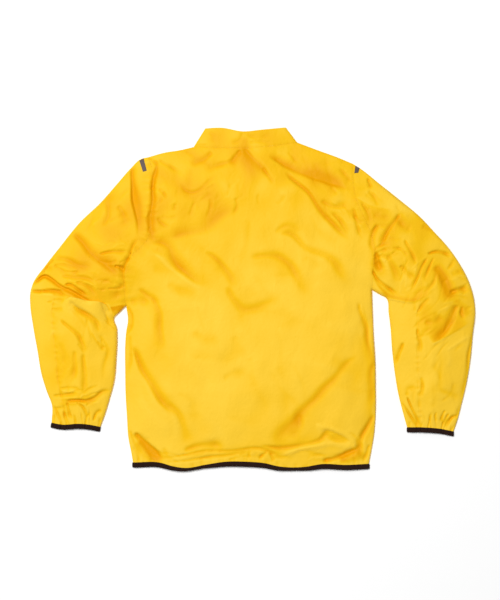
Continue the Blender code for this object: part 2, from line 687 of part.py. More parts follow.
def make_sleeve(side, parent):
    """Two pieces of one sleeve, cut along the lengthwise seam and a seam underneath."""
    ring = sleeve_grid(side)
    if side == "left":
        ring = ring[::-1]
    count = ring.shape[1]
    normals = grid_normals(ring, grid_faces(np.ones((len(ring) - 1, count), bool), True))
    first = -1 if side == "left" else 0
    top_columns = len(ARMHOLE_V)
    seam = slice(3, top_columns - 2)
    normals[first, seam] = slope_normals(ring[first, seam])
    under_seam = top_columns - 1 + UNDER_SEAM_COLUMN
    tops = np.arange(SEAM_COLUMN, under_seam + 1)
    unders = np.arange(under_seam, count + SEAM_COLUMN + 1) % count
    for name, columns in (("top", tops), ("under", unders)):
        piece = shift_columns(ring[:, columns], 0, 1, SEAM / 2)
        piece = shift_columns(piece, len(columns) - 1, len(columns) - 2, SEAM / 2)
        wall(f"sleeve_{side}_{name}", piece, "shell", normals=normals[:, columns], parent=parent)
    return ring


def binding_grid(edge_loop, ways):
    """Rows of a binding from the cloth's edge outward, a little prouder than the cloth."""
    rows = []
    for along_way, proud in ((SEAM, 0.1), (1.5, 0.5), (5.0, 0.6), (8.8, 0.5), (10.3, -0.2)):
        row = edge_loop + along_way * ways
        row[:, 2] = np.where(edge_loop[:, 2] > EDGE_MIDDLE, row[:, 2] + proud, row[:, 2])
        rows.append(row)
    return np.array(rows)


def make_cuff_binding(side, ring, parent):
    loop = ring[0] if side == "left" else ring[-1]
    before = ring[1] if side == "left" else ring[-2]
    ways = loop - before
    ways[:, 2] = 0
    ways /= np.linalg.norm(ways, axis=1, keepdims=True)
    ways[:] = ways.mean(axis=0) / np.linalg.norm(ways.mean(axis=0))
    grid = binding_grid(loop, ways)
    if side == "left":
        grid = grid[::-1]
    wall("cuff_binding_" + side, grid, "binding", BINDING_THICK, closed=True, parent=parent)


def make_hem_binding(hems, parent):
    """The hem's binding: from one side of the zip round the back to the other side."""
    back = along(CURVES["hem"], BACK_U)
    steps = np.array(WRAP_STEPS) / lengths(CURVES["hem"])[-1]
    turn_left = along(CURVES["hem"], steps[::-1])
    turn_right = along(CURVES["hem"], 1 - steps)
    under_left = lift(np.concatenate([hems["left"][::-1], turn_left]), bottom_height)
    under_right = lift(np.concatenate([turn_right, hems["right"]]), bottom_height)
    loop = np.concatenate([under_left, lift(back, top_height), under_right])
    ways = np.tile([0.0, -1.0, 0.0], (len(loop), 1))
    grid = binding_grid(loop, ways)
    wall("hem_binding", grid[::-1], "binding", BINDING_THICK, parent=parent)


def collar_side(side):
    """Seam edge and top edge of the collar's half underneath, from zip to neck point."""
    seam = neck_front_half("neck_front", side)
    top = neck_front_half("collar_front_top", side)
    length = lengths(seam)[-1]
    wraps = np.array(WRAP_STEPS)[:2] / length
    parts = np.concatenate([[wraps[0], wraps[1]], front_neck_parts(side)])[::-1]
    return along(seam, parts), along(top, parts)


def make_collar(parent):
    """The stand collar: underneath from the zip to the neck point, then over the back."""
    seam_l, top_l = collar_side("left")
    seam_r, top_r = collar_side("right")
    columns = slice(NECK_A, NECK_B + 1)
    seam_b = along(TOP_EDGE, BACK_U[columns])
    run = (BACK_U[columns] - NECK_LEFT) / (NECK_RIGHT - NECK_LEFT)
    top_b = along(CURVES["collar_top"], run)
    seam = np.concatenate([seam_l, seam_b, seam_r[::-1]])
    top = np.concatenate([top_l, top_b, top_r[::-1]])
    over = np.zeros(len(seam), bool)
    over[len(seam_l) : len(seam_l) + len(seam_b)] = True
    rows = []
    for part in (0.0, 0.3, 0.65, 1.0):
        way = (top - seam) / np.linalg.norm(top - seam, axis=1, keepdims=True)
        plan = seam + SEAM * way * (1 - part) + part * (top - seam)
        height = np.where(over, lift(plan, top_height)[:, 2], lift(plan, bottom_height)[:, 2])
        rows.append(np.concatenate([plan, height[:, None]], axis=1))
    grid = np.array(rows)
    present = np.ones((len(rows) - 1, len(seam) - 1), bool)
    normals = grid_normals(grid, grid_faces(present, False))
    neck = slice(len(seam_l) + 2, len(seam_l) + len(seam_b) - 2)
    normals[0, neck] = slope_normals(grid[0, neck])
    wall("collar", grid, "shell", COLLAR_CLOTH, normals=normals, parent=parent)


# The zip.

def zip_rows(start, end):
    """Heights on the page along the zip, closer together where it rises over its slider."""
    rise_from = SLIDER_Y - PULL_LONG - PLATEAU_FALL - 10
    return np.concatenate([[start], np.arange(rise_from, end - 6, 12.0), [end]])


def zip_strip(name, start, end, inner, outer, low, high, finish, parent):
    """A strip along the zip line between two sideways distances and two heights over the front."""
    y = zip_rows(start, end)
    middle = zip_x(y)
    floor = slider_rise(middle, y)
    grid = np.zeros((len(y), 2, 3))
    for column, beside in enumerate((outer, inner)):
        grid[:, column] = np.stack([middle + beside, y, floor + low], axis=1)
    down = np.tile([0.0, 0.0, -1.0], (len(y), 2, 1))
    wall(name, grid, finish, high - low, normals=down, parent=parent)


def make_zip(parent):
    start, end = ZIP_Y_HEM + 2.0, ZIP_Y_TOP - 2.0
    top = TAPE_ABOVE + TAPE_THICK
    zip_strip("zip_tape_left", start, end, -TAPE_OUTER, -TAPE_INNER, TAPE_ABOVE, top, "tape", parent)
    zip_strip("zip_tape_right", start, end, TAPE_INNER, TAPE_OUTER, TAPE_ABOVE, top, "tape", parent)
    coil_end = SLIDER_Y + SLIDER_FRONT - NECK_LONG - SEAM
    zip_strip("zip_coil", start, coil_end, -COIL_HALF, COIL_HALF, COIL_LOW, COIL_HIGH, "zip", parent)


def box(name, low, high, finish):
    corners = [(x, y, z) for x in (low[0], high[0]) for y in (low[1], high[1]) for z in (low[2], high[2])]
    faces = [(0, 1, 3, 2), (4, 6, 7, 5), (0, 4, 5, 1), (2, 3, 7, 6), (0, 2, 6, 4), (1, 5, 7, 3)]
    return add_mesh(name, np.array(corners, float), faces, finish)


def make_slider(parent):
    """Two plates joined by a neck, with a small bridge outside that carries the pull."""
    x, y, z = zip_x(SLIDER_Y), SLIDER_Y, PLATEAU
    wide, neck, bar = SLIDER_HALF, NECK_HALF, BRIDGE_HALF
    front, back = y + SLIDER_FRONT, y + SLIDER_BACK
    bridge_low = z - BRIDGE_DEEP
    boxes = [
        ((x - wide, back, z - PLATE), (x + wide, front, z)),
        ((x - wide, back, z + TOP_PLATE_LOW), (x + wide, front, z + TOP_PLATE_LOW + PLATE)),
        ((x - neck, front - NECK_LONG, z - 0.5), (x + neck, front - 0.2, z + TOP_PLATE_LOW + 0.5)),
        ((x - bar, y + BRIDGE_BACK, bridge_low), (x + bar, y + BRIDGE_BACK + BRIDGE_BAR, z - 0.6)),
        ((x - bar, y + BRIDGE_FRONT - BRIDGE_BAR, bridge_low), (x + bar, y + BRIDGE_FRONT, z - 0.6)),
        ((x - bar * 0.98, y + BRIDGE_BACK + 0.1, bridge_low + 0.02),
         (x + bar * 0.98, y + BRIDGE_FRONT - 0.1, bridge_low + BRIDGE_BAR)),
    ]
    slider = box("zip_slider", *boxes[0], "zip")
    slider.parent = parent
    for index, (low, high) in enumerate(boxes[1:]):
        cutter = box(f"slider_part_{index}", low, high, "zip")
        cutter.parent = parent
        cutter.hide_render = True
        cutter.display_type = "WIRE"
        joined = slider.modifiers.new(f"join_{index}", "BOOLEAN")
        joined.operation = "UNION"
        joined.object = cutter
    return slider


def make_pull(parent):
    """The pull tab, flat against the zip, with its origin on its hinge line."""
    axis = np.array([zip_x(SLIDER_Y), SLIDER_Y + PULL_AXIS_Y, PLATEAU - PULL_AXIS_DEEP])
    x = np.array([PULL_HALF, PULL_EYE_HALF, -PULL_EYE_HALF, -PULL_HALF])
    y = np.array([-PULL_LONG, -PULL_EYE, -PULL_BAR, PULL_BAR])
    grid = np.zeros((4, 4, 3))
    grid[..., 0], grid[..., 1] = np.meshgrid(x, y)
    grid[..., 2] = -PULL_THICK / 2
    present = np.array([[True, True, True], [True, False, True], [True, True, True]])
    hinge = bpy.data.objects.new("pull_hinge", None)
    hinge.location = Vector(axis) * MM
    hinge.parent = parent
    bpy.context.scene.collection.objects.link(hinge)
    down = np.tile([0.0, 0.0, -1.0], (4, 4, 1))
    wall("zip_pull", grid, "zip", PULL_THICK, present=present, normals=down, parent=hinge)


def make_tab(side, sleeve, parent):
    """A tab laid on the sleeve: its points are the sleeve's own, moved out."""
    a, b, c, d = (np.array(corner, float) for corner in TABS[side])
    across, down = np.linspace(0, 1, 4), np.linspace(0, 1, 7)
    grid = np.zeros((len(down), len(across), 3))
    mesh = sleeve.data
    tree = BVHTree.FromPolygons(
        [tuple(v.co / MM) for v in mesh.vertices], [tuple(p.vertices) for p in mesh.polygons]
    )
    for i, v in enumerate(down[::-1]):
        for j, u in enumerate(across):
            low, high = d + u * (c - d), a + u * (b - a)
            plan = high + v * (low - high)
            over = Vector((*plan, float(top_height(plan[0:1], plan[1:2])[0])))
            hit, normal = tree.find_nearest(over)[:2]
            grid[i, j] = hit + normal * (TAB_CLEAR + TAB_THICK)
    wall("shoulder_tab_" + side, grid, "reflective", TAB_THICK, parent=parent)


def clear_scene():
    for old in list(bpy.data.objects):
        bpy.data.objects.remove(old)


def main():
    jacket = bpy.data.objects.new("jacket", None)
    bpy.context.scene.collection.objects.link(jacket)
    make_back(jacket)
    hems = {side: make_front(side, jacket) for side in ("left", "right")}
    make_hem_binding(hems, jacket)
    make_collar(jacket)
    for side in ("left", "right"):
        ring = make_sleeve(side, jacket)
        make_cuff_binding(side, ring, jacket)
        carrier = bpy.data.objects[f"sleeve_{side}_under"]
        make_tab(side, carrier, jacket)
    make_zip(jacket)
    make_slider(jacket)
    make_pull(jacket)
    centre(jacket)


def centre(jacket):
    """Moves the jacket so that the middle of its outline in plan stands at the origin."""
    bpy.context.view_layer.update()
    pieces = [o for o in bpy.data.objects if o.type == "MESH" and not o.hide_render]
    corners = np.array([o.matrix_world @ v.co for o in pieces for v in o.data.vertices])
    middle = (corners.min(axis=0) + corners.max(axis=0)) / 2
    jacket.location = (-middle[0], -middle[1], 0)


clear_scene()
MATERIALS = {name: material(name) for name in FINISHES}
main()
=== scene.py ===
# %% [markdown]
# # A light rain jacket, laid flat with its back up
#
# The imported model already holds every cut piece as a closed wall of cloth. This lesson dresses
# it: each panel is made again as a fine, thin shell on the same outlines, its creases are laid
# in one by one, and the cloth, the elastic bindings, the zip and the thread get their finishes.
#
# All tables are in millimetres, measured across the laid jacket from one zero near its middle.
# X runs to the right, Y towards the collar and Z up from the surface it lies on.

import bmesh
import bpy
import numpy as np
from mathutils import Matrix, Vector
from mathutils.bvhtree import BVHTree


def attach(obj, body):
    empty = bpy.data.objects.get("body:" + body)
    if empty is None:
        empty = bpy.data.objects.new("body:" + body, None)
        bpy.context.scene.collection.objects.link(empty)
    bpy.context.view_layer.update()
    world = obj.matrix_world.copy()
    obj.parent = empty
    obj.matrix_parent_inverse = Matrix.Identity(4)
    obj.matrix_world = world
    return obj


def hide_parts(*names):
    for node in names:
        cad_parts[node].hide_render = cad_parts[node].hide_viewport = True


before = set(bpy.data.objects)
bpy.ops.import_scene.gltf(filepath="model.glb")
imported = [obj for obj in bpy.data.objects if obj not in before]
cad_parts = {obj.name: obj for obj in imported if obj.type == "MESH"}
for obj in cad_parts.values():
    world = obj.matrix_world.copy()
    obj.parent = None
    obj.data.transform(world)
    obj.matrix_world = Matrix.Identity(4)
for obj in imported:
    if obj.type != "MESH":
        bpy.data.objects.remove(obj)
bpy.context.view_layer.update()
MM = 0.001
HANDS = {"left": -1, "right": 1}  # which way X runs from the middle to each side


def link_object(name, data):
    """A new object at the origin, in the scene."""
    made = bpy.data.objects.new(name, data)
    bpy.context.scene.collection.objects.link(made)
    return made


# %% [markdown]
# ## The view
#
# The jacket is seen from straight above, from far enough away that the thickness of the cloth
# hardly shifts its edges. A long lens is the honest way to do that: the frame is 500 x 600
# pixels, one pixel is 2.16 mm at the jacket's edge, and the lens follows from the distance.

# %% Camera
PIXEL, PIXELS_HIGH = 2.16, 600
FRAME_MIDDLE = (-5.4, -1.5)
TABLE_TO_FRAME = np.array([-0.072, 1.628, 0.0])
CAMERA_HIGH, CAMERA_SEES = 3200.0, 50000.0
EDGE_MIDDLE = 4.5
SENSOR = 36.0


def in_frame(points):
    """Points of the tables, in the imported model's metres."""
    return (np.asarray(points) + TABLE_TO_FRAME) * MM


camera = link_object("camera", bpy.data.cameras.new("camera"))
camera.data.sensor_width = SENSOR
camera.data.lens = SENSOR * (CAMERA_HIGH - EDGE_MIDDLE) / (PIXEL * PIXELS_HIGH)
camera.data.clip_end = CAMERA_SEES * MM
camera.location = in_frame((*FRAME_MIDDLE, CAMERA_HIGH))
bpy.context.scene.camera = camera
print("lens:", round(camera.data.lens, 1), "mm")

# %% [markdown]
# ## Small helpers for shader trees
#
# Every finish below is a short chain of nodes. A few helpers keep the chains readable: each adds
# one kind of node and sets its inputs by name, or starts a node group or a material.

# %% Shader helpers


def add_node(tree, kind, links=(), **settings):
    """A node with its settings and plain inputs set, and its links made."""
    node = tree.nodes.new(kind)
    for key, value in settings.items():
        setattr(node, key, value)
    for socket, source in dict(links).items():
        if isinstance(source, bpy.types.NodeSocket):
            tree.links.new(source, node.inputs[socket])
        else:
            node.inputs[socket].default_value = source
    return node


def calculate(tree, operation, *values, **settings):
    """The result of one calculation."""
    links = dict(enumerate(values))
    return add_node(tree, "ShaderNodeMath", links, operation=operation, **settings).outputs[0]


def noise(tree, scale, where=None, **sockets):
    """Soft noise on the piece's own coordinates."""
    where = where or add_node(tree, "ShaderNodeTexCoord").outputs["Object"]
    links = {"Vector": where, "Scale": scale, **sockets}
    return add_node(tree, "ShaderNodeTexNoise", links).outputs["Fac"]


def blend(tree, value, low, high, first, second):
    """A colour that goes from the first to the second as the value goes from low to high."""
    part = add_node(tree, "ShaderNodeMapRange", {"Value": value, "From Min": low, "From Max": high})
    links = {"Factor": part.outputs[0], 6: first, 7: second}
    return add_node(tree, "ShaderNodeMix", links, data_type="RGBA").outputs[2]


def start_group(name, gives, **takes):
    """A shader node group, its given sockets and the socket that its result goes to."""
    group = bpy.data.node_groups.new(name, "ShaderNodeTree")
    kinds = {tuple: "NodeSocketColor", float: "NodeSocketFloat"}
    for socket, value in takes.items():
        made = group.interface.new_socket(socket, in_out="INPUT", socket_type=kinds[type(value)])
        made.default_value = value
    kind = "NodeSocketColor" if gives == "Color" else "NodeSocketFloat"
    group.interface.new_socket(gives, in_out="OUTPUT", socket_type=kind)
    start, end = group.nodes.new("NodeGroupInput"), group.nodes.new("NodeGroupOutput")
    return group, start.outputs, end.inputs[0]


def place_group(tree, group, **values):
    return add_node(tree, "ShaderNodeGroup", values, node_tree=group).outputs[0]


def start_material(name, **plain):
    """A material with a Principled shader whose plain sockets are set by name."""
    made = bpy.data.materials.new(name)
    made.use_nodes = True
    surface = made.node_tree.nodes["Principled BSDF"]
    for socket, value in plain.items():
        surface.inputs[socket.replace("_", " ")].default_value = value
    return made, made.node_tree, surface


# %% [markdown]
# ## The light
#
# The real cloth shows hardly any bright side to its folds, only darker troughs, so the light is
# broad and comes nearly from the camera: a white room and one large soft lamp, a little to the
# upper left. A second lamp stands below for whoever looks at the side that rests on the floor.

# %% World and lamps
WORLD_LIGHT = 0.26
LAMPS = {  # place in metres, width, watts
    "soft_lamp": ((-1.6, 1.5, 6.0), 2.2, 400.0),
    "lamp_below": ((0.8, -1.2, -3.2), 2.4, 60.0),
}

scene = bpy.context.scene
scene.view_settings.view_transform = "Standard"
world = bpy.data.worlds.new("room")
world.use_nodes = True
scene.world = world
tree = world.node_tree
sky = tree.nodes["Background"]
seen = add_node(tree, "ShaderNodeLightPath").outputs["Is Camera Ray"]
level = add_node(tree, "ShaderNodeMapRange", {"Value": seen, "To Min": WORLD_LIGHT, "To Max": 1.0})
tree.links.new(level.outputs["Result"], sky.inputs["Strength"])
sky.inputs["Color"].default_value = (1, 1, 1, 1)

for name, (place, wide, watts) in LAMPS.items():
    lamp = link_object(name, bpy.data.lights.new(name, "AREA"))
    lamp.data.size = wide
    lamp.data.energy = watts
    lamp.location = place
    lamp.rotation_euler = (-Vector(place)).to_track_quat("-Z", "Y").to_euler()
print(len(LAMPS), "lamps")

# %% [markdown]
# ## The floor
#
# A white floor that only has an upper side. Seen from below it lets the eye and the light of
# the lower lamp through, so that the side the jacket lies on can be looked at too.

# %% Floor
FLOOR_HALF = 6.0
FLOOR_WHITE = 0.94

corners = [(x * FLOOR_HALF, y * FLOOR_HALF, 0) for x, y in ((-1, -1), (1, -1), (1, 1), (-1, 1))]
floor_mesh = bpy.data.meshes.new("floor")
floor_mesh.from_pydata(corners, [], [(0, 1, 2, 3)])
link_object("floor", floor_mesh)

white = (FLOOR_WHITE, FLOOR_WHITE, FLOOR_WHITE, 1)
paper, tree, surface = start_material(
    "paper", Base_Color=white, Roughness=0.9, Specular_IOR_Level=0.1
)
shadow = add_node(tree, "ShaderNodeLightPath").outputs["Is Shadow Ray"]
underside = add_node(tree, "ShaderNodeNewGeometry").outputs["Backfacing"]
open_to = calculate(tree, "MAXIMUM", shadow, underside)
clear = add_node(tree, "ShaderNodeBsdfTransparent").outputs[0]
mix = add_node(tree, "ShaderNodeMixShader", {0: open_to, 1: surface.outputs[0], 2: clear})
tree.links.new(mix.outputs[0], tree.nodes["Material Output"].inputs["Surface"])
floor_mesh.materials.append(paper)

# %% [markdown]
# ## Threads, crinkles and painted shade in the hollows
#
# The shell is a light, tightly woven nylon. Three things make it look like that: a fine plain
# weave, a soft crinkle that never quite presses out, and painted shade: a warmer, deeper yellow
# painted into the folds, where they would be in shade. Each is a group, so that the shell, the
# tape and the bindings can all use them with their own sizes. The weave follows the piece's own
# UV map, which is laid out in metres along its threads.

# %% Weave group


def make_weave_group():
    """Height of a plain weave: two crossed sets of threads on the UV map."""
    group, given, height = start_group("woven_threads", "Height", Threads=2500.0, Rib=0.0)
    uv = add_node(group, "ShaderNodeUVMap", uv_map="cut").outputs["UV"]
    parts = add_node(group, "ShaderNodeSeparateXYZ", {0: uv}).outputs
    turns = [calculate(group, "MULTIPLY", parts[axis], given["Threads"]) for axis in ("X", "Y")]
    warp, weft = (calculate(group, "SINE", turn) for turn in turns)
    crossed = calculate(group, "MULTIPLY", warp, weft)
    ribbed = add_node(group, "ShaderNodeMix", {"Factor": given["Rib"], "A": crossed, "B": warp})
    group.links.new(ribbed.outputs["Result"], height)
    return group


WEAVE = make_weave_group()

# %% Crinkle group and colour group with painted shade
DRAWN_OUT = (1, 0.6, 1)
FINER = 3.7
PATCH_SIZE = 9.0
HALF_DEEP = 0.4


def make_crinkle_group():
    """Height of a soft crinkle: two sizes of noise, the larger one drawn out along the cloth."""
    group, given, height = start_group("soft_crinkle", "Height", Size=30.0, Fine=0.35)
    where = add_node(group, "ShaderNodeTexCoord").outputs["Object"]
    drawn = add_node(group, "ShaderNodeMapping", {"Vector": where, "Scale": DRAWN_OUT}).outputs[0]
    broad = noise(group, given["Size"], drawn, Detail=3.0, Distortion=0.6)
    finer = calculate(group, "MULTIPLY", given["Size"], FINER)
    small = noise(group, finer, where, Detail=2.0, Distortion=0.3)
    fine = calculate(group, "MULTIPLY", small, given["Fine"])
    group.links.new(calculate(group, "ADD", broad, fine), height)
    return group


def make_shade_group():
    """The cloth's colour with painted shade: deeper as the painted shade share grows, and a little
    uneven at random.
    """
    colours = dict.fromkeys(("Open", "Half", "Deep"), (1.0, 1.0, 1.0, 1.0))
    group, given, result = start_group("painted_shade_and_mottle", "Color", **colours, Uneven=0.2)
    hollow = add_node(group, "ShaderNodeAttribute", attribute_name="hollow").outputs["Fac"]
    spread = calculate(group, "MULTIPLY", noise(group, PATCH_SIZE, Detail=2.0), given["Uneven"])
    share = calculate(group, "ADD", hollow, spread, use_clamp=True)
    colour = blend(group, share, 0.0, HALF_DEEP, given["Open"], given["Half"])
    group.links.new(blend(group, share, HALF_DEEP, 1.0, colour, given["Deep"]), result)
    return group


CRINKLE, SHADE_GROUP = make_crinkle_group(), make_shade_group()

# %% [markdown]
# ## Finishes
#
# Nylon shell, elastic binding, zip tape, moulded coil, painted slider, reflective tape and
# sewing thread. Heights from the groups go through Bump nodes, each with its real depth.

# %% Cloth finishes


def bump_chain(tree, surface, steps):
    """Bump nodes one after the other, each with a height and its depth in metres."""
    last = None
    for height, deep in steps:
        links = {"Height": height, "Distance": deep}
        if last:
            links["Normal"] = last
        last = add_node(tree, "ShaderNodeBump", links).outputs[0]
    tree.links.new(last, surface.inputs["Normal"])


def make_woven(name, colours, uneven, threads, rib, deep, crinkle=None, **plain):
    """A cloth finish: open, half and deep colour, mixed by the painted shade share and a random
    mottle, a weave and, on the shell, a crinkle.
    """
    made, tree, surface = start_material(name, **plain)
    shades = {key: (*colour, 1) for key, colour in zip(("Open", "Half", "Deep"), colours)}
    colour = place_group(tree, SHADE_GROUP, Uneven=uneven, **shades)
    tree.links.new(colour, surface.inputs["Base Color"])
    steps = [(place_group(tree, WEAVE, Threads=threads, Rib=rib), deep)]
    if crinkle:
        size, fine, crinkle_deep = crinkle
        steps.insert(0, (place_group(tree, CRINKLE, Size=size, Fine=fine), crinkle_deep))
    bump_chain(tree, surface, steps)
    return made


# The shell's half and deep colours are painted shade, used in its folds and painted shade patches.
SHELL = make_woven(
    "nylon_shell", [(0.90, 0.585, 0.048), (0.845, 0.488, 0.008), (0.76, 0.342, 0.0005)],
    0.22, 9000.0, 0.0, 0.00002, (34.0, 0.3, 0.0016), Roughness=0.45, Specular_IOR_Level=0.05,
)
BINDING = make_woven(
    "elastic_binding", [(0.026, 0.0095, 0.0055), (0.020, 0.007, 0.004), (0.011, 0.004, 0.002)],
    0.8, 4200.0, 0.8, 0.00025, Roughness=0.85, Specular_IOR_Level=0.15,
)
TAPE_CLOTH = make_woven(
    "zip_tape", [(0.90, 0.47, 0.012), (0.85, 0.41, 0.008), (0.78, 0.33, 0.004)],
    0.4, 5200.0, 0.35, 0.00012, Roughness=0.8, Sheen_Weight=0.2,
)

# %% Thread, moulded, painted and reflective finishes
GRAIN_LOW, GRAIN_HIGH = 0.38, 0.62


def make_grained(name, light, dark, grain, deep, **plain):
    """A finish with a fine grain in its colour and its height."""
    made, tree, surface = start_material(name, **plain)
    speckle = noise(tree, grain, Detail=2.0)
    colour = blend(tree, speckle, GRAIN_LOW, GRAIN_HIGH, (*dark, 1), (*light, 1))
    tree.links.new(colour, surface.inputs["Base Color"])
    bump_chain(tree, surface, [(speckle, deep)])
    return made


THREAD = make_grained(
    "yellow_thread", (0.95, 0.50, 0.012), (0.80, 0.36, 0.005), 2600.0, 0.00005, Roughness=0.6
)
DARK_THREAD = make_grained(
    "dark_thread", (0.035, 0.014, 0.010), (0.012, 0.005, 0.004), 2600.0, 0.00005, Roughness=0.7
)
MOULDED = make_grained(
    "moulded_coil", (0.86, 0.47, 0.015), (0.74, 0.36, 0.01), 900.0, 0.00003, Roughness=0.38
)
PAINTED = make_grained(
    "painted_slider", (0.80, 0.43, 0.02), (0.77, 0.40, 0.016), 900.0, 0.00001,
    Roughness=0.32, Coat_Weight=0.3,
)
REFLECTIVE = make_grained(
    "reflective_tape", (0.118, 0.084, 0.074), (0.096, 0.068, 0.060), 420.0, 0.00003,
    Roughness=0.62, Specular_IOR_Level=0.3,
)

# %% [markdown]
# ## The pattern's lines
#
# The outlines of the laid jacket, as short lists of places that a smooth curve runs through. All
# longer tables here are plain text: a name, then numbers, then a path of X,Y places. Sides run
# from the hem to the underarm, armholes from there to the shoulder, sleeves down to the cuff,
# cuffs from the outer to the inner edge, the collar's ends upwards, and the rest from left to
# right.

# %% Outlines


def read_rows(text):
    """Rows of a name, some plain numbers and a path, from a table in plain text."""
    rows = []
    for word in text.split():
        if word[0].isalpha():
            rows.append([word, []])
        elif "," in word:
            rows[-1][-1].append([float(part) for part in word.split(",")])
        else:
            rows[-1].insert(-1, float(word))
    return rows


OUTLINES = read_rows("""
side_left -258,-353 -262,-330 -268,-300 -271,-256 -274,-207 -275,-153 -275,-99 -273,-71 -269,-45
   -273,-14
side_right 251,-356 256,-330 262,-295 266,-243 266,-185 265,-127 262,-84 260,-40 258,20
armhole_left -273,-14 -277,18 -276,46 -270,74 -258,96 -241,112 -227,128 -220,154 -218,204 -216,247
   -217,279 -225,307
armhole_right 258,20 259,52 262,85 262,115 254,145 239,178 226,208 219,236 217,268 216,293
shoulder_left -225,307 -189,317 -157,322 -127,329
shoulder_right 96,339 141,322 185,306 216,293
neck_back -127,329 -81,328 -16,327 49,332 96,339
collar_top -102,369 -66,370 -21,362 21,366 72,371
neck_front -127,329 -103,288 -66,262 -14,251 36,264 72,294 96,339
collar_front_top -102,369 -85,331 -57,303 -14,291 27,303 55,331 72,371
hem -258,-353 -200,-353 -170,-361 -144,-364 -100,-357 -57,-351 -14,-351 25,-354 57,-361 113,-362
   150,-356 200,-358 251,-356
sleeve_left_outer -225,307 -241,303 -262,284 -291,251 -329,208 -373,166 -416,113 -448,72 -474,35
   -480,14 -480,-14 -474,-58 -464,-114 -456,-161 -444,-200 -433,-230 -434,-267
sleeve_left_inner -273,-14 -286,-27 -299,-41 -293,-62 -292,-88 -294,-127 -298,-174 -308,-213
   -320,-252 -329,-276
cuff_left -434,-267 -411,-271 -373,-269 -347,-272 -329,-276
sleeve_right_outer 216,293 232,283 275,249 319,214 362,178 392,146 422,113 446,79 468,37 478,3
   481,-27 476,-75 470,-135 461,-187 451,-228 444,-256 434,-286
sleeve_right_inner 258,20 273,11 289,2 294,-30 298,-62 301,-105 307,-157 315,-205 324,-241 334,-277
cuff_right 434,-286 405,-280 370,-277 334,-277
collar_left -127,329 -113,352 -102,369
collar_right 96,339 85,354 72,371
""")
FOLDED = [f"{part}_{side}" for part in ("side", "shoulder", "collar") for side in HANDS]
FOLDED += [f"sleeve_{side}_{edge}" for side in HANDS for edge in ("outer", "inner")]

# %% Curve helpers


def lengths(curve):
    """How far along a curve each of its points lies."""
    return np.concatenate([[0], np.cumsum(np.linalg.norm(np.diff(curve, axis=0), axis=1))])


def long(curve):
    return lengths(curve)[-1]


def smooth_curve(points, steps=8):
    """A dense smooth line through a short list of points."""
    p = np.array(points, float)
    t = lengths(p)
    slope = np.gradient(p, t, axis=0)
    line = []
    for a in range(len(p) - 1):
        span = t[a + 1] - t[a]
        s = np.linspace(0, 1, steps, endpoint=False)[:, None]
        line.append(
            (2 * s**3 - 3 * s**2 + 1) * p[a]
            + (s**3 - 2 * s**2 + s) * span * slope[a]
            + (3 * s**2 - 2 * s**3) * p[a + 1]
            + (s**3 - s**2) * span * slope[a + 1]
        )
    return np.concatenate([*line, p[-1:]])


def along(curve, fractions):
    """Points at these fractions of a curve's length."""
    run = lengths(curve)
    at = np.asarray(fractions, float) * run[-1]
    return np.stack([np.interp(at, run, curve[:, k]) for k in range(curve.shape[1])], axis=-1)


def sub_curve(curve, start, end):
    """The stretch of a curve between two fractions of its length."""
    run = lengths(curve) / long(curve)
    inside = curve[(run > min(start, end)) & (run < max(start, end))]
    ends = along(curve, [start, end])
    if end < start:
        inside = inside[::-1]
    return np.concatenate([ends[:1], inside, ends[1:]])


# %% Shares and directions


def ramp(t):
    """From 0 to 1, without a corner at either end."""
    t = np.clip(t, 0, 1)
    return t * t * (3 - 2 * t)


def spaced(length, step, near_start=(0.0,), near_end=(0.0,)):
    """Fractions of a length: close lines at both ends, even steps of about step between."""
    first, last = near_start[-1], length - near_end[-1]
    count = max(1, round((last - first) / step))
    middle = np.linspace(first, last, count + 1)
    ends = length - np.array(near_end[::-1], float)
    return np.concatenate([near_start[:-1], middle, ends[1:]]) / length


def unit(ways):
    """Directions at length one."""
    return ways / np.linalg.norm(ways, axis=-1, keepdims=True)


def inset_curve(curve, distance, hand):
    """A curve moved sideways, to its left for hand 1 and to its right for hand -1."""
    way = unit(np.gradient(curve, axis=0))
    return curve + hand * np.asarray(distance)[..., None] * np.stack([-way[:, 1], way[:, 0]], -1)


CURVES = {name: smooth_curve(points) for name, points in OUTLINES}
print("outlines:", {name: round(long(curve)) for name, curve in CURVES.items()})

# %% [markdown]
# ## The creases
#
# A crease is a path with a rise (below zero for a trough), how far it reaches to the left and
# to the right of its path, and how crisp it is. Real creases fade at both ends, are never the
# same depth all along and widen on their way, so the profile does that for each of them. A
# trough also pushes up a low lip of cloth on either side.
#
# The table follows the photograph, fold by fold. Cloth simulation was the other way, but it
# would have put its own folds in place of these.

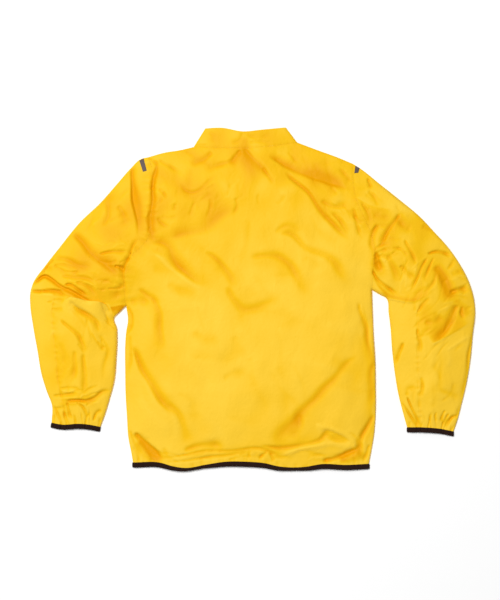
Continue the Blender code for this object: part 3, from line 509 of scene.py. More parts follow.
# %% Crease table
CREASES = read_rows("""
neck_v_right -3.5 5 10 0.6 -23,327 -12,317 5,301 25,281 40,260
neck_v_line -4 3 5 0.9 25,284 36,268 51,249
neck_v_left -4 12 5 0.4 -27,322 -38,305 -53,284
neck_left_soft -3 7 9 0.3 -85,318 -105,305 -135,292
neck_left_soft_b -2.5 8 8 0.2 -44,297 -75,288 -103,286
yoke_right -4.5 20 5 0.7 29,312 59,292 90,277 122,264 154,253 185,243 224,234
yoke_right_top -3 5 9 0.7 187,281 202,268 215,253
collar_side_right -2.5 5 5 0.5 77,320 87,307 96,292
blade_right -5 6 6 0.8 68,277 98,249 126,221 148,193 170,165 193,139 219,117
blade_right_short -4 9 3 0.8 172,189 185,171 198,148 208,135
blade_right_facet -3 10 6 0.6 150,214 180,202 215,202
armhole_right_short -3.5 4 6 0.7 217,197 224,169 230,132
waist_right -3.1 13 9 0.45 -5,89 23,94 53,91 77,74 94,48 111,24 137,9
side_right_soft -3.1 12 9 0.45 51,137 81,137 113,115 144,100 170,81 191,57 215,22
shoulder_right_soft -2.25 10.8 10.8 0.3 46,139 66,152 107,145
blade_left -4.6 15 8 0.75 -221,126 -200,124 -183,113 -170,91 -157,68 -135,50 -100,37 -83,33
blade_left_ridge 2.2 7 5 0.3 -213,104 -193,89 -174,63 -152,46 -118,33 -92,27
blade_left_low -2.25 14.4 14.4 0.3 -183,31 -157,18 -113,18
yoke_left_thin -3 4 4 0.8 -202,301 -183,286 -154,268
yoke_left_hook -2.2 5 5 0.4 -157,249 -141,234 -124,230 -109,240 -92,256 -70,266
yoke_left_dash -4 4 4 0.7 -202,238 -193,232 -183,219
yoke_left_dash_b -2.5 4 4 0.6 -165,210 -170,193
yoke_left_pleat -2.5 7 3 0.7 -96,214 -92,197 -96,173
yoke_left_pleat_b -2.5 7 3 0.7 -36,219 -36,202 -44,180
yoke_left_pleat_c -2 6 3 0.7 -122,208 -131,191 -137,176
armhole_left_short -3.5 5 4 0.7 -202,176 -191,163 -174,152
drape_left -2.1 25 15 0.4 -174,135 -144,139 -118,148 -87,169 -53,193 -27,214
spine_high -3.1 9 8 0.5 -105,102 -85,94 -66,74 -51,48 -38,16
spine_low -3 13 12 0.4 -55,27 -42,-2 -21,-19 8,-17 38,-4 68,14
flank_left -4 9 5 0.8 -247,22 -230,11 -215,1 -204,-17
flank_left_low -3.38 8.4 14.4 0.45 -208,-6 -200,-34 -198,-73 -193,-114
flank_left_soft -2.5 14 14 0.2 -265,-8 -239,-2 -221,-8
side_left_dent -4 3 9 0.7 -271,-14 -260,-34 -262,-60 -271,-81
side_left_long -2.5 4 6 0.5 -262,-77 -262,-120 -269,-170
sweep_left -5.52 16.5 6.6 0.65 -258,-99 -247,-131 -237,-157 -219,-187 -198,-215 -180,-237 -159,-263
sweep_left_tail -3 12 10 0.3 -183,-222 -157,-252 -144,-284 -144,-317
hem_left_tuck -12 6 12 0.8 -256,-289 -234,-310 -213,-330 -191,-347
hem_left_edge -3 5 4 0.6 -267,-282 -256,-315 -239,-347
sweep_right -3.5 11 11 0.45 226,-120 195,-151 167,-179 141,-205 113,-233 81,-269 38,-310
sweep_right_fan -1.7 26 16 0.4 109,-230 81,-269 53,-297 21,-317
sweep_right_fan_b -3 14 16 0.4 103,-243 96,-274 83,-306
side_right_line -4 4 8 0.6 228,-2 234,-34 245,-62 252,-97 254,-127
side_right_soft_low -2 6 10 0.3 258,-131 256,-185 260,-235
side_right_tuck -6 6 8.4 0.7 265,-246 247,-269 237,-295 232,-323 232,-351
side_right_corner -4 4 5 0.6 256,-313 245,-336 232,-354
hem_right_ridge 5 4 17 0.85 137,-267 165,-276 195,-289 215,-306 228,-330 232,-354
hem_right_hollow -4 10 8 0.6 157,-287 178,-300 211,-310
hem_right_band -4.4 6 6 0.6 8,-317 70,-318 124,-315 148,-300 163,-283 185,-291 208,-306 226,-323
   232,-347
hem_right_light 3.4 7 6 0.6 59,-332 98,-326 137,-317 174,-307 200,-315 219,-330
hem_right_tuck -9 8 7 0.75 148,-349 174,-343 200,-334 224,-323 241,-308
hem_crease -4.6 3 3.5 0.9 -187,-337 -135,-332 -87,-328 -31,-324 12,-323 42,-328 68,-341 94,-349
hem_crease_low -4.4 3 3.5 0.85 -191,-349 -148,-347 -105,-344 -57,-335 -14,-329 21,-327
hem_pucker_a -5 3 3 0.8 33,-328 25,-336 18,-349
hem_pucker_b -5 3 3 0.8 36,-328 44,-336 49,-349
hem_pucker_c -4 3 3 0.8 -5,-328 -5,-338 -3,-349
hem_band_left -4 11 9 0.4 -150,-323 -113,-317 -53,-315
hem_band_left_low -2 9 9 0.3 -191,-317 -187,-336 -174,-349
back_low_soft -1.5 12 14.4 0.2 -66,-170 -42,-159 -5,-161
back_low_soft_b -1.5 12 14.4 0.2 -131,-71 -96,-90 -72,-75
sleeve_left_head -6.5 14 4 0.8 -262,297 -261,258 -256,214 -249,171 -245,128
shoulder_left_tip -4 4 4 0.8 -228,310 -215,299 -200,288
armhole_left_band -4.5 9 6 0.6 -206,294 -213,262 -217,219 -219,167 -219,115
arm_left_soft -2.5 11 11 0.4 -288,204 -278,178 -280,145
arm_left_sweep -4.5 15 9 0.4 -390,145 -366,122 -349,100 -327,83 -301,68 -273,46
arm_left_low -3 9 9 0.4 -429,89 -403,87 -373,72 -336,68
arm_left_low_b -2.5 9 7 0.4 -411,50 -368,44 -321,42
armpit_left_1 -5 3.5 4.5 0.9 -329,94 -308,100 -288,102 -267,102
armpit_left_2 -6 4 5 0.8 -293,74 -280,72 -269,63
armpit_left_3 -3 3 3 0.9 -312,24 -295,24 -273,27
armpit_left_foot -3.5 3 8 0.8 -243,132 -260,109 -271,81 -275,46 -275,-2
armpit_left_shade -3 10 14 0.3 -282,37 -291,14 -286,-8
elbow_left_upper -8 4 7 0.7 -476,31 -463,44 -448,51 -433,44 -416,29 -390,14 -360,-2 -334,-10
elbow_left_edge -6 3 5 0.7 -429,87 -444,68 -463,44
elbow_left_mid -6 4 6 0.7 -407,29 -394,31 -375,18 -351,3
elbow_left_lower -7 5 6 0.7 -478,20 -450,20 -422,18 -405,3
elbow_left_fan -3 7 5 0.6 -381,35 -355,27 -332,7
elbow_left_ledge 8 3 22 0 -407,1 -394,-4 -368,-8 -336,-12 -299,-14
forearm_left_tuck -7 5 8 0.7 -396,-10 -373,-25 -351,-36 -334,-49 -325,-71
forearm_left_crease -4.12 7.2 4.8 0.8 -414,-43 -396,-60 -379,-77 -364,-101 -353,-120
forearm_left_soft -3 7 7 0.4 -362,-114 -364,-148 -362,-174 -353,-209
forearm_left_inner -2 8 6 0.5 -329,-71 -314,-99 -316,-135 -323,-179
forearm_left_facet -2 7 7 0.4 -381,-110 -386,-144 -381,-179
wrist_left -7 4 7 0.7 -409,-220 -383,-218 -355,-220 -334,-211 -321,-198 -301,-196
wrist_left_high -3.5 4 6 0.6 -433,-207 -409,-205 -370,-200
wrist_left_high_b -2 4 4 0.5 -416,-192 -390,-189 -364,-194
wrist_left_a -4.5 4 4 0.8 -381,-222 -366,-235 -357,-259
wrist_left_b -4 3 5 0.7 -401,-222 -396,-239 -390,-265
wrist_left_c -4 4 4 0.7 -345,-263 -340,-248 -323,-237
wrist_left_d -3 4 4 0.6 -427,-228 -420,-243 -416,-263
arm_right_drop 2.2 45 27 0.7 215,223 237,202 262,195 291,195 321,191 347,186 368,173
arm_right_head -3 6 6 0.5 232,206 245,189 252,163
armpit_right -5.2 5 8 0.6 316,186 306,171 293,150 284,128 267,106
armhole_right_low -4 10 6 0.3 269,163 258,141 254,119 262,102
armpit_right_gather_a -2.6 3.5 3.5 0.6 262,109 278,117 297,122
armpit_right_gather_b -2.6 3.5 3.5 0.6 262,98 278,106 297,110
armpit_right_gather_c -2.6 3.5 3.5 0.6 262,87 275,94 293,96
armpit_right_deep -7 8 10 0.3 267,102 271,85 278,59
armpit_right_curve -6 4 5 0.8 260,70 267,48 280,31 297,16 316,3
elbow_right_ledge 2.2 16 3 0.2 282,0 297,-3 319,-4 340,-2 360,5 377,18
arm_right_crease -3.4 4 6 0.6 329,130 340,106 349,85 355,68
arm_right_thin -2 3 4 0.6 303,113 321,109 338,91
arm_right_hollow -3.5 10 8 0.3 291,100 299,78 306,55 310,27
arm_right_hollow_b -3 8 8 0.4 316,72 332,52 349,40
arm_right_facet -3 12 9 0.5 308,173 323,158 345,148
arm_right_facet_b -2.5 10 8 0.5 366,158 383,152 405,150
elbow_right_high -6 4 4 0.85 373,98 392,102 411,98 431,89
elbow_right_pair_a -4.2 2.5 4.5 0.8 390,91 379,65 364,42
elbow_right_pair_b -4.2 2.5 5 0.8 377,91 362,65 347,37 338,11
elbow_right_low -3 7 9 0.4 396,59 386,37 368,18 347,5
elbow_right_shade -3.4 16 14 0.2 392,76 407,50 420,22 429,-8
elbow_right_shade_b -6 6 8 0.6 424,14 446,24 472,29
elbow_right_dash -2.6 5 5 0.4 420,63 431,76 437,87
elbow_right_fold -5.95 7.7 14.3 0.55 442,-8 431,-34 420,-56 407,-73 381,-94
elbow_right_fold_lip 2.2 14 5 0.9 381,-99 414,-79 444,-64 476,-49
elbow_right_spot -5 4 4 0.6 450,-14 448,-30 455,-45
elbow_right_facet -3.5 12 12 0.5 368,-49 392,-49 409,-32
forearm_right_top -4 4 5 0.7 353,-27 364,-10 383,5
forearm_right_seam_dip -4 5 5 0.6 357,-62 357,-88 353,-122
forearm_right_inner -4 4 6 0.6 323,-92 314,-116 303,-142
forearm_right_short -4 4 4 0.7 362,-166 364,-187 362,-213
forearm_right_short_b -2 7 7 0.4 334,-213 338,-196 355,-192
forearm_right_soft -1.5 8 8 0.3 399,-192 422,-202 448,-215
wrist_right_long_a -4.5 4 4 0.8 319,-222 334,-243 347,-263 355,-280
wrist_right_long_b -4.5 4 4 0.8 334,-211 342,-233 351,-254 360,-280
wrist_right_a -3 3 3 0.7 396,-243 392,-254 394,-269
wrist_right_b -4 3 4 0.7 416,-241 409,-254 403,-272
wrist_right_c -4 3 4 0.7 424,-248 416,-263 409,-280
wrist_right_d -6 3 6 0.7 448,-250 433,-256 424,-269 418,-284
wrist_right_e -3 3 3 0.7 444,-267 435,-278 431,-291
forearm_right_edge -4.5 4 6 0.6 474,-71 470,-110 463,-164 455,-207 450,-235
wrist_right_edge -4 5 7 0.5 457,-213 448,-239 442,-261
sleeve_right_head -4 4 5 0.7 249,264 252,253 258,238
sleeve_right_head_b -3 7 7 0.4 249,232 262,221 271,197
collar_dip -1.5 5 7 0.4 -21,359 -29,344 -55,333
collar_band -1.5 7 6 0.4 -14,355 8,348 42,353
collar_band_b -1.5 5 6 0.4 -10,338 21,340 49,335
collar_corner_left -1.5 3 4 0.6 -122,334 -107,333 -92,333
collar_left_soft -1.5 8 8 0.3 -94,364 -83,351 -87,338
""")
print(len(CREASES), "creases by hand")

# %% Painted shade along paths: these only deepen the colour, by tenths of the full share
PAINTED_SHADE_PATHS = read_rows("""
spine_patch -1.6 30 34 0.2 -103,102 -66,68 -38,-2 21,-27
flank_left_patch -1.6 30 20 0.2 -260,20 -221,-2 -200,-66 -200,-114
side_right_soft_patch -0.9 26 26 0.2 103,115 163,76 215,16
arm_right_facet_edge -2.8 3 44 0.5 211,221 262,195 310,193
arm_right_facet_low -1 3 34 0.5 310,193 368,176 418,137
arm_right_inner -2.5 26 5 0.5 316,189 293,137 267,94
elbow_right_patch -6.5 18 18 0.2 394,76 409,44 420,18 429,-10
elbow_right_patch_b -4 14 12 0.2 437,3 450,-19 461,-45
forearm_right_patch -5.5 32 3 0.7 381,-94 414,-79 444,-64 474,-49
forearm_right_patch_b -2.5 30 12 0.4 370,-2 366,-40 370,-84
yoke_right_patch -1.6 22 4 0.6 21,314 59,292 90,277 122,264 154,253 185,243 237,230
yoke_right_top_patch -1 16 26 0.4 103,301 150,288 200,275
neck_patch -4 15 24 0.2 -21,353 -16,322 -3,288 12,240
drape_left_patch -1.5 34 8 0.5 -183,130 -144,137 -116,145 -85,167 -51,191 -23,214
blade_right_patch -2 22 6 0.5 103,249 146,197 180,150 215,124
armhole_left_patch -2.5 26 5 0.6 -206,301 -213,258 -217,214 -219,160 -219,111
armhole_left_tone -3.6 8 9 0.3 -206,301 -213,262 -217,219 -219,167 -221,113
sleeve_left_head_tone -2.2 14 5 0.5 -262,297 -261,258 -256,214 -249,171 -245,128
elbow_left_upper_tone -3.4 6 10 0.5 -476,33 -448,52 -416,29 -390,14 -360,-2 -329,-12
elbow_right_under -5 6 5 0.4 258,59 273,24 295,3 319,0 345,1 370,9 390,27
elbow_right_upper_tone -3 26 4 0.4 275,1 319,-2 349,3 383,24
arm_left_patch -2.2 46 22 0.3 -416,81 -373,68 -329,50 -273,20
elbow_left_patch -3 26 10 0.5 -416,16 -373,5 -329,-6 -286,-10
armpit_left_triangle -12 2 18 0.8 -306,-17 -291,-16 -271,-14
wrist_left_patch -3 26 8 0.4 -420,-226 -373,-224 -329,-222
blade_left_patch -2 30 10 0.4 -217,115 -178,94 -144,55 -103,33
waist_right_patch -1.1 30 30 0.3 -1,85 49,81 92,42
hem_right_patch -1.4 20 14 0.4 21,-330 81,-319 146,-306 211,-330
hem_left_patch -7 15 14 0.4 -252,-308 -226,-334 -187,-354
hem_right_corner_patch -7 15 12 0.4 185,-349 211,-343 241,-326
side_right_patch -3 5 16 0.5 237,-2 252,-97 260,-218 241,-351
sweep_right_patch -1.5 19.2 21.6 0.3 189,-161 141,-209 94,-261 38,-304
hem_mid_patch -1.5 14 10 0.3 -157,-338 -70,-330 16,-321
armpit_right_patch -4 12 20 0.4 262,115 271,81 284,42
forearm_left_patch -1.5 30 30 0.3 -416,-66 -411,-131 -403,-196
""")
print(len(PAINTED_SHADE_PATHS), "shades")

# %% [markdown]
# ## Small wrinkles and gathers
#
# Between the large folds lie many short ones. Those are scattered from a table of places, each
# with a count, a heading and a size, and a fixed seed. The elastic at the cuffs and the hem
# pulls the cloth into little gathers that run away from the binding.

# %% Scattered wrinkles
WRINKLES = [  # middle x, y, spread x, y, count, heading, turn, length, rise, reach
    (-400, 25, 60, 45, 22, -12, 22, 46, -1.7, 3.2),
    (-340, -60, 40, 50, 14, -55, 25, 44, -1.6, 3.2),
    (-300, 75, 30, 55, 14, 5, 18, 34, -1.4, 2.8),
    (-300, 190, 60, 60, 10, 55, 40, 60, -1.2, 6.0),
    (-375, -215, 45, 25, 12, 12, 18, 34, -1.8, 2.8),
    (-380, -120, 45, 70, 12, 80, 30, 60, -0.9, 6.0),
    (290, 120, 24, 50, 16, 20, 26, 34, -0.9, 3.4),
    (350, 40, 40, 45, 16, 62, 20, 46, -1.2, 3.6),
    (440, 20, 34, 40, 14, 30, 40, 38, -1.3, 3.4),
    (410, -70, 45, 40, 12, 50, 20, 48, -1.5, 3.6),
    (390, -180, 40, 60, 12, 80, 30, 50, -0.9, 6.0),
    (300, 200, 60, 50, 10, -40, 40, 50, -1.2, 6.0),
    (-195, 200, 30, 60, 14, 40, 40, 30, -1.2, 3.0),
    (-20, 250, 90, 50, 14, 60, 40, 34, -1.0, 3.2),
    (200, 190, 30, 50, 12, -58, 16, 44, -1.4, 3.2),
    (-30, -338, 200, 8, 20, 0, 12, 40, -1.3, 2.6),
    (225, -320, 24, 24, 10, -60, 30, 34, -2.0, 2.8),
    (-230, -320, 24, 24, 8, -45, 30, 32, -1.8, 2.8),
    (0, 180, 210, 130, 34, -40, 60, 90, -0.9, 11.0),
    (0, -120, 230, 200, 44, -60, 60, 110, -0.7, 14.0),
]
WRINKLE_SEED, WRINKLE_CRISP = 7, 0.75
RIDGES, RIDGE_RISE = 0.35, -0.7
WRINKLE_LONG, WRINKLE_SIZE, WRINKLE_SIDES = (0.5, 1.4), (0.6, 1.3), (0.5, 1.9)
WRINKLE_BOW = 0.35


def scatter_wrinkles():
    """Short creases and a few ridges round each place of the table, each with a steeper side."""
    rng = np.random.default_rng(WRINKLE_SEED)
    made = []
    for x, y, wide, high, count, heading, turn, long_way, rise, reach in WRINKLES:
        for _ in range(count):
            middle = np.array([x, y]) + rng.uniform(-1, 1, 2) * (wide, high)
            angle = np.radians(heading + rng.uniform(-turn, turn))
            half = 0.5 * long_way * rng.uniform(*WRINKLE_LONG)
            way = np.array([np.cos(angle), np.sin(angle)])
            bow = np.array([-way[1], way[0]]) * half * rng.uniform(-WRINKLE_BOW, WRINKLE_BOW)
            path = [middle - half * way, middle + bow, middle + half * way]
            size = rng.uniform(*WRINKLE_SIZE)
            left, right = reach * size * rng.uniform(*WRINKLE_SIDES, 2)
            up = RIDGE_RISE if rng.random() < RIDGES else 1.0
            made.append(("wrinkle", up * rise * size, left, right, WRINKLE_CRISP, path))
    return made


# %% Gathers at the elastic edges
GATHERS = [  # edge, hand, count, length, rise, reach, seed
    ("cuff_left", 1, 9, 34, -2.6, 2.8, 11),
    ("cuff_right", -1, 9, 34, -2.6, 2.8, 12),
    ("hem", 1, 40, 15, -1.3, 2.8, 13),
]
GATHER_FOOT, GATHER_CRISP = 8, 0.6
GATHER_PLACE, GATHER_LONG, GATHER_SIZE = (0.1, 0.9), (0.4, 1.3), (0.6, 1.2)
GATHER_TILT, GATHER_BEND = 0.35, 0.12
WAY_COUNT = 200


def gathers(edge, hand, count, long_way, rise, reach, seed):
    """Short creases that start at an elastic edge and run away from it, unevenly spaced."""
    rng = np.random.default_rng(seed)
    curve = CURVES[edge]
    at = (np.arange(count) + rng.uniform(*GATHER_PLACE, count)) / count
    ways = unit(np.gradient(along(curve, np.linspace(0, 1, WAY_COUNT)), axis=0))
    made = []
    for point, fraction in zip(along(curve, at), at):
        tangent = ways[int(fraction * (WAY_COUNT - 1))]
        up = hand * np.array([-tangent[1], tangent[0]])
        tilt = rng.uniform(-GATHER_TILT, GATHER_TILT)
        far = long_way * rng.uniform(*GATHER_LONG)
        end = point + far * (up + tilt * tangent)
        bend = 0.5 * (point + end) + tangent * far * rng.uniform(-GATHER_BEND, GATHER_BEND)
        size = rng.uniform(*GATHER_SIZE)
        path = [point - GATHER_FOOT * up, bend, end]
        made.append(("gather", rise * size, reach * size, reach * size, GATHER_CRISP, path))
    return made


ALL_CREASES = CREASES + scatter_wrinkles()
for row in GATHERS:
    ALL_CREASES += gathers(*row)
print(len(ALL_CREASES), "creases in all")

# %% [markdown]
# ## Two surfaces to lie on
#
# Laid flat, a jacket is two layers that meet in its folded edges. The upper layer rises from an
# edge in a quarter of a roll and carries the creases. The lower one rests on the floor and turns
# up only at the edge. Both are plain functions of the place, so every panel can ask them.

# %% Height over a folded edge
FOLD_ROLL, FOLD_SHARE = 7.0, 0.3
CROWN, CROWN_BEND = 100.0, 1.7
LOFT = [  # y, body, sleeve
    (-360, 6, 7), (-330, 8, 7), (-280, 12, 8), (-250, 14, 12), (-200, 17, 17), (-120, 18, 20),
    (0, 19, 22), (120, 18, 22), (220, 16, 19), (280, 13, 14), (330, 9, 9), (372, 7, 7),
]
BODY_HALF, SLEEVE_FROM = 235.0, 300.0


def nearest(x, y, line):
    """Distance from each point to a line, how far along it, which hand, and the line's way."""
    run = lengths(line)
    best = np.full(x.shape, np.inf)
    part, hand, wx, wy = (np.zeros(x.shape) for _ in range(4))
    for a, b, before, after in zip(line[:-1], line[1:], run[:-1], run[1:]):
        way = b - a
        t = np.clip(((x - a[0]) * way[0] + (y - a[1]) * way[1]) / (way @ way), 0, 1)
        dx, dy = x - a[0] - t * way[0], y - a[1] - t * way[1]
        away = np.hypot(dx, dy)
        closer = away < best
        best[closer] = away[closer]
        part[closer] = ((before + t * (after - before)) / run[-1])[closer]
        hand[closer] = (way[0] * dy - way[1] * dx)[closer]
        wx[closer], wy[closer] = unit(way)
    return best, part, hand, wx, wy


def edge_distance(x, y):
    """Distance to the nearest folded edge."""
    return np.min([nearest(x, y, CURVES[name])[0] for name in FOLDED], axis=0)


def loft(x, y):
    """How far the upper layer stands off the lower one, away from any edge."""
    at, body, sleeve = np.array(LOFT, float).T
    body, sleeve = np.interp(y, at, body), np.interp(y, at, sleeve)
    return body + (sleeve - body) * ramp((np.abs(x) - BODY_HALF) / (SLEEVE_FROM - BODY_HALF))


def edge_rise(away):
    """How high a layer stands over its folded edge: a tight roll, then a long low crown."""
    roll = np.sqrt(1 - (1 - np.clip(away / FOLD_ROLL, 0, 1)) ** 2)
    crown = 1 - (1 - np.clip(away / CROWN, 0, 1)) ** CROWN_BEND
    return FOLD_SHARE * roll + (1 - FOLD_SHARE) * crown


# %% Height of the creases
LEANS = {"elbow_left_ledge": 7.0}  # how far a ledge hangs over, sideways
FOLD_START, FOLD_END = 0.12, 0.32
FOLD_WIDENS, REACH_CUT = (0.6, 1.3), 2.6
FOLD_WIDE, FOLD_SHARP = 1.7, 1.8
LIP = 0.6
UNEVEN, UNEVEN_TURNS, UNEVEN_SHIFT = 0.22, 1.7, 0.618
WAVE_SIZES, WAVE_PHASE = (0.7, 1.7), 6.3


def crease_profile(t, crisp, lip):
    """A soft trough mixed with a straight-sided fold: crisp 0 is all soft, 1 all straight."""
    soft = (1 - lip * t * t) * np.exp(-t * t)
    fold = np.clip(1 - t / FOLD_WIDE, 0, None) ** FOLD_SHARP
    return soft * (1 - crisp) + crisp * fold


def creases_height(x, y, table):
    """The sum of a table's creases, and how far the ledges lean sideways."""
    total, lean_x, lean_y = (np.zeros(x.shape) for _ in range(3))
    for index, (name, rise, left, right, crisp, points) in enumerate(table):
        line = smooth_curve(points, 4)
        reach = REACH_CUT * max(left, right)
        low, high = line.min(axis=0) - reach, line.max(axis=0) + reach
        near = (x > low[0]) & (x < high[0]) & (y > low[1]) & (y < high[1])
        if not near.any():
            continue
        away, part, hand, wx, wy = nearest(x[near], y[near], line)
        narrow = np.interp(part, (0, 1), FOLD_WIDENS)
        across = away / (np.where(hand > 0, left, right) * narrow)
        uneven = 1 + UNEVEN * np.sin(2 * np.pi * (UNEVEN_TURNS * part + UNEVEN_SHIFT * index))
        fade = ramp(part / FOLD_START) * ramp((1 - part) / FOLD_END) * uneven
        total[near] += rise * fade * crease_profile(across, crisp, LIP if rise < 0 else 0.0)
        if name in LEANS:
            shift = LEANS[name] * fade * np.exp(-across * across)
            lean_x[near] -= shift * wy
            lean_y[near] += shift * wx
    return total, lean_x, lean_y


def waves(x, y, size, seed, count=9):
    """Soft uneven waves of about this size."""
    rng = np.random.default_rng(seed)
    angles = rng.uniform(0, np.pi, count)
    scales = size * rng.uniform(*WAVE_SIZES, count)
    total = np.zeros(x.shape)
    for angle, scale, phase in zip(angles, scales, rng.uniform(0, WAVE_PHASE, count)):
        total += np.sin((x * np.cos(angle) + y * np.sin(angle)) * 2 * np.pi / scale + phase)
    return total / np.sqrt(count)


# %% Seams pull the cloth down and pucker it
SEAMS = [  # curve, depth, reach, pucker, pucker pitch
    ("armhole_left", 0.8, 7.0, 0.5, 17.0),
    ("armhole_right", 0.5, 4.0, 0.15, 12.0),
    ("neck_back", 0.7, 3.0, 0.1, 10.0),
]
FOREARM_FROM, FOREARM_SEAM = 0.5, (0.6, 2.2, 0.45, 17.0)
DRIFT, DRIFT_PITCHES = 1.6, 3.3
DIP_EVEN, DIP_TURNS = 0.75, 0.45
RIPPLE_REACH = 2.4


def seam_height(x, y, line, deep, reach, pucker, pitch):
    """A shallow dip along a seam, with small puckers beside it that never quite repeat."""
    away, part = nearest(x, y, line)[:2]
    run = part * long(line)
    turn = 2 * np.pi * run / pitch + DRIFT * np.sin(2 * np.pi * run / (DRIFT_PITCHES * pitch))
    uneven = DIP_EVEN + (1 - DIP_EVEN) * np.sin(DIP_TURNS * turn)
    dip = deep * uneven * np.exp(-((away / reach) ** 2))
    return pucker * np.sin(turn) * np.exp(-((away / (RIPPLE_REACH * reach)) ** 2)) - dip


# %% The upper layer
# Painted shade patches: round areas where the colour is deepened.
SHADE_PATCHES = [  # middle x, y, reach, how much deeper the colour is there
    (-330, 85, 110, 0.34), (-265, 190, 90, 0.26), (-430, 60, 70, 0.12), (345, 130, 95, 0.20),
    (420, 30, 90, 0.18), (280, 215, 90, 0.18), (0, 300, 170, 0.24), (-150, 250, 100, 0.20),
    (150, 275, 110, 0.22), (-400, -150, 120, 0.16), (400, -150, 120, 0.08), (-60, 355, 90, 0.14),
    (-120, 150, 100, 0.12), (60, -330, 140, 0.14), (-215, -120, 80, 0.12), (215, -150, 80, 0.12),
]
SHADE_PATCH_UNEVEN = 0.25
CREASE_SHARE = 0.8
WARP_MM = 2.4
# Size and seed of the waves that bend the creases, mottle the painted shade patches and soften the
# cloth.
WARP_X, WARP_Y, SHADE_PATCH_WAVES, BROAD, SMALL = (90.0, 6), (90.0, 7), (60, 8), (95, 3), (38, 4)
SOFT_BROAD, SOFT_SMALL = 0.9, 0.35
LEAST_HEIGHT, EDGE_CALM = 3.4, 6.0
FULL_SHADE_DEPTH, SHADE_FULL = 7.0, 10.0


def shade_patches(x, y):
    """Painted shade: the summed depth of colour from the round patches."""
    total = np.zeros(x.shape)
    for middle_x, middle_y, reach, share in SHADE_PATCHES:
        total += share * np.exp(-((x - middle_x) ** 2 + (y - middle_y) ** 2) / reach**2)
    return total


def upper_layer(x, y):
    """Height of the upper layer, its sideways lean, and its share of painted shade at each point.
    """
    shape = x.shape
    x, y = x.ravel(), y.ravel()
    away = edge_distance(x, y)
    bent = x + WARP_MM * waves(x, y, *WARP_X), y + WARP_MM * waves(x, y, *WARP_Y)
    creases, lean_x, lean_y = creases_height(*bent, ALL_CREASES)
    creases *= CREASE_SHARE
    for name, *sizes in SEAMS:
        creases += seam_height(x, y, CURVES[name], *sizes)
    for line in SEAM_LINES.values():
        creases += seam_height(x, y, sub_curve(line, FOREARM_FROM, 1), *FOREARM_SEAM)
    shade = -creases_height(*bent, PAINTED_SHADE_PATHS)[0] / SHADE_FULL
    shade += shade_patches(x, y) * (1 + SHADE_PATCH_UNEVEN * waves(x, y, *SHADE_PATCH_WAVES))
    soft = SOFT_BROAD * waves(x, y, *BROAD) + SOFT_SMALL * waves(x, y, *SMALL)
    calm = ramp(away / EDGE_CALM)
    height = EDGE_MIDDLE + loft(x, y) * edge_rise(away) + (creases + soft) * calm
    height = np.maximum(height, LEAST_HEIGHT)
    # Painted shade: the colour deepens in the troughs of the creases and under the painted shade
    # paths and patches.
    hollow = np.clip(-creases * calm / FULL_SHADE_DEPTH + shade, 0, 1)
    return [a.reshape(shape) for a in (height, lean_x * calm, lean_y * calm, hollow)]


# %% The lower layer
ZIP_X_HEM, ZIP_X_TOP = -4.0, -15.0
ZIP_Y_HEM, ZIP_Y_TOP = -351.0, 291.0
SLIDER_Y, PULL_LONG, PULL_ROOM = 276.0, 22.0, 8
PLATEAU, PLATEAU_HALF, PLATEAU_FALL = 4.5, 18.0, 60.0
ROLL_UNDER, FLOOR_CLEAR, LEAST_Z = 5.0, 0.2, 0.02
UNDER_WAVES, UNDER_SOFT = (80, 5), 0.35
EDGE_FLAT, EDGE_FALL, ZIP_FALL = 2, 14, 25
UNDER_FULL_SHADE = 8.5
# The same columns as above; these rise off the floor into the jacket.
UNDER_CREASES = read_rows("""
front_left_long 2.4 14 10 0.2 -236,96 -214,40 -196,-30 -190,-110 -212,-196
front_left_drape 1.8 10 8 0.2 -38,182 -84,152 -132,150 -178,122
front_left_cross 2.2 9 12 0.2 -52,44 -96,62 -134,96 -190,160
front_left_mid 1.5 9 8 0.2 -44,-136 -86,-146 -142,-192
front_left_low 2.6 10 12 0.3 -48,-312 -96,-272 -150,-252 -222,-240
front_left_yoke 2 12 10 0.1 -82,262 -126,228 -178,222
front_right_long 2.5 9 13 0.2 204,132 176,66 162,-10 186,-92 196,-188
front_right_cross 1.9 11 9 0.2 34,74 82,92 130,72 176,78
front_right_mid 1.6 8 9 0.2 30,-66 68,-104 126,-116
front_right_low 2.6 12 10 0.3 58,-328 104,-290 122,-238 188,-206
front_right_yoke 2 10 12 0.1 68,284 112,252 138,214 184,188
under_arm_left 2.6 9 8 0.3 -448,44 -404,14 -362,8 -318,26
under_arm_left_low 2.3 7 8 0.3 -456,-14 -412,-34 -366,-38 -326,-74
under_arm_left_long 1.8 7 8 0.2 -296,176 -338,132 -382,96
under_arm_left_head 2 8 8 0.2 -258,236 -270,172 -298,112
under_forearm_left 1.9 6 8 0.3 -432,-66 -404,-106 -398,-158
under_wrist_left 1.7 6 6 0.2 -424,-192 -378,-208 -322,-200
under_arm_right 2.6 8 9 0.3 452,48 412,26 366,8 326,28
under_arm_right_low 2.3 7 8 0.3 462,-28 420,-58 372,-62 330,-44
under_arm_right_long 1.7 8 7 0.2 326,184 346,132 392,98
under_arm_right_head 2 8 8 0.2 260,230 276,168 302,118
under_forearm_right 2.1 7 7 0.3 386,-84 398,-128 426,-164
under_wrist_right 1.7 6 6 0.2 432,-202 384,-218 332,-204
""")


def zip_x(y):
    part = (y - ZIP_Y_HEM) / (ZIP_Y_TOP - ZIP_Y_HEM)
    return ZIP_X_HEM + part * (ZIP_X_TOP - ZIP_X_HEM)


def slider_rise(x, y):
    """The fronts stand on the slider and its pull, which lie between them and the floor."""
    beside = np.maximum(np.abs(x - zip_x(y)) - PLATEAU_HALF, 0)
    below = np.maximum(SLIDER_Y - PULL_LONG - PULL_ROOM - y, 0)
    return PLATEAU * ramp(1 - np.hypot(beside, below + np.maximum(y - ZIP_Y_TOP, 0)) / PLATEAU_FALL)


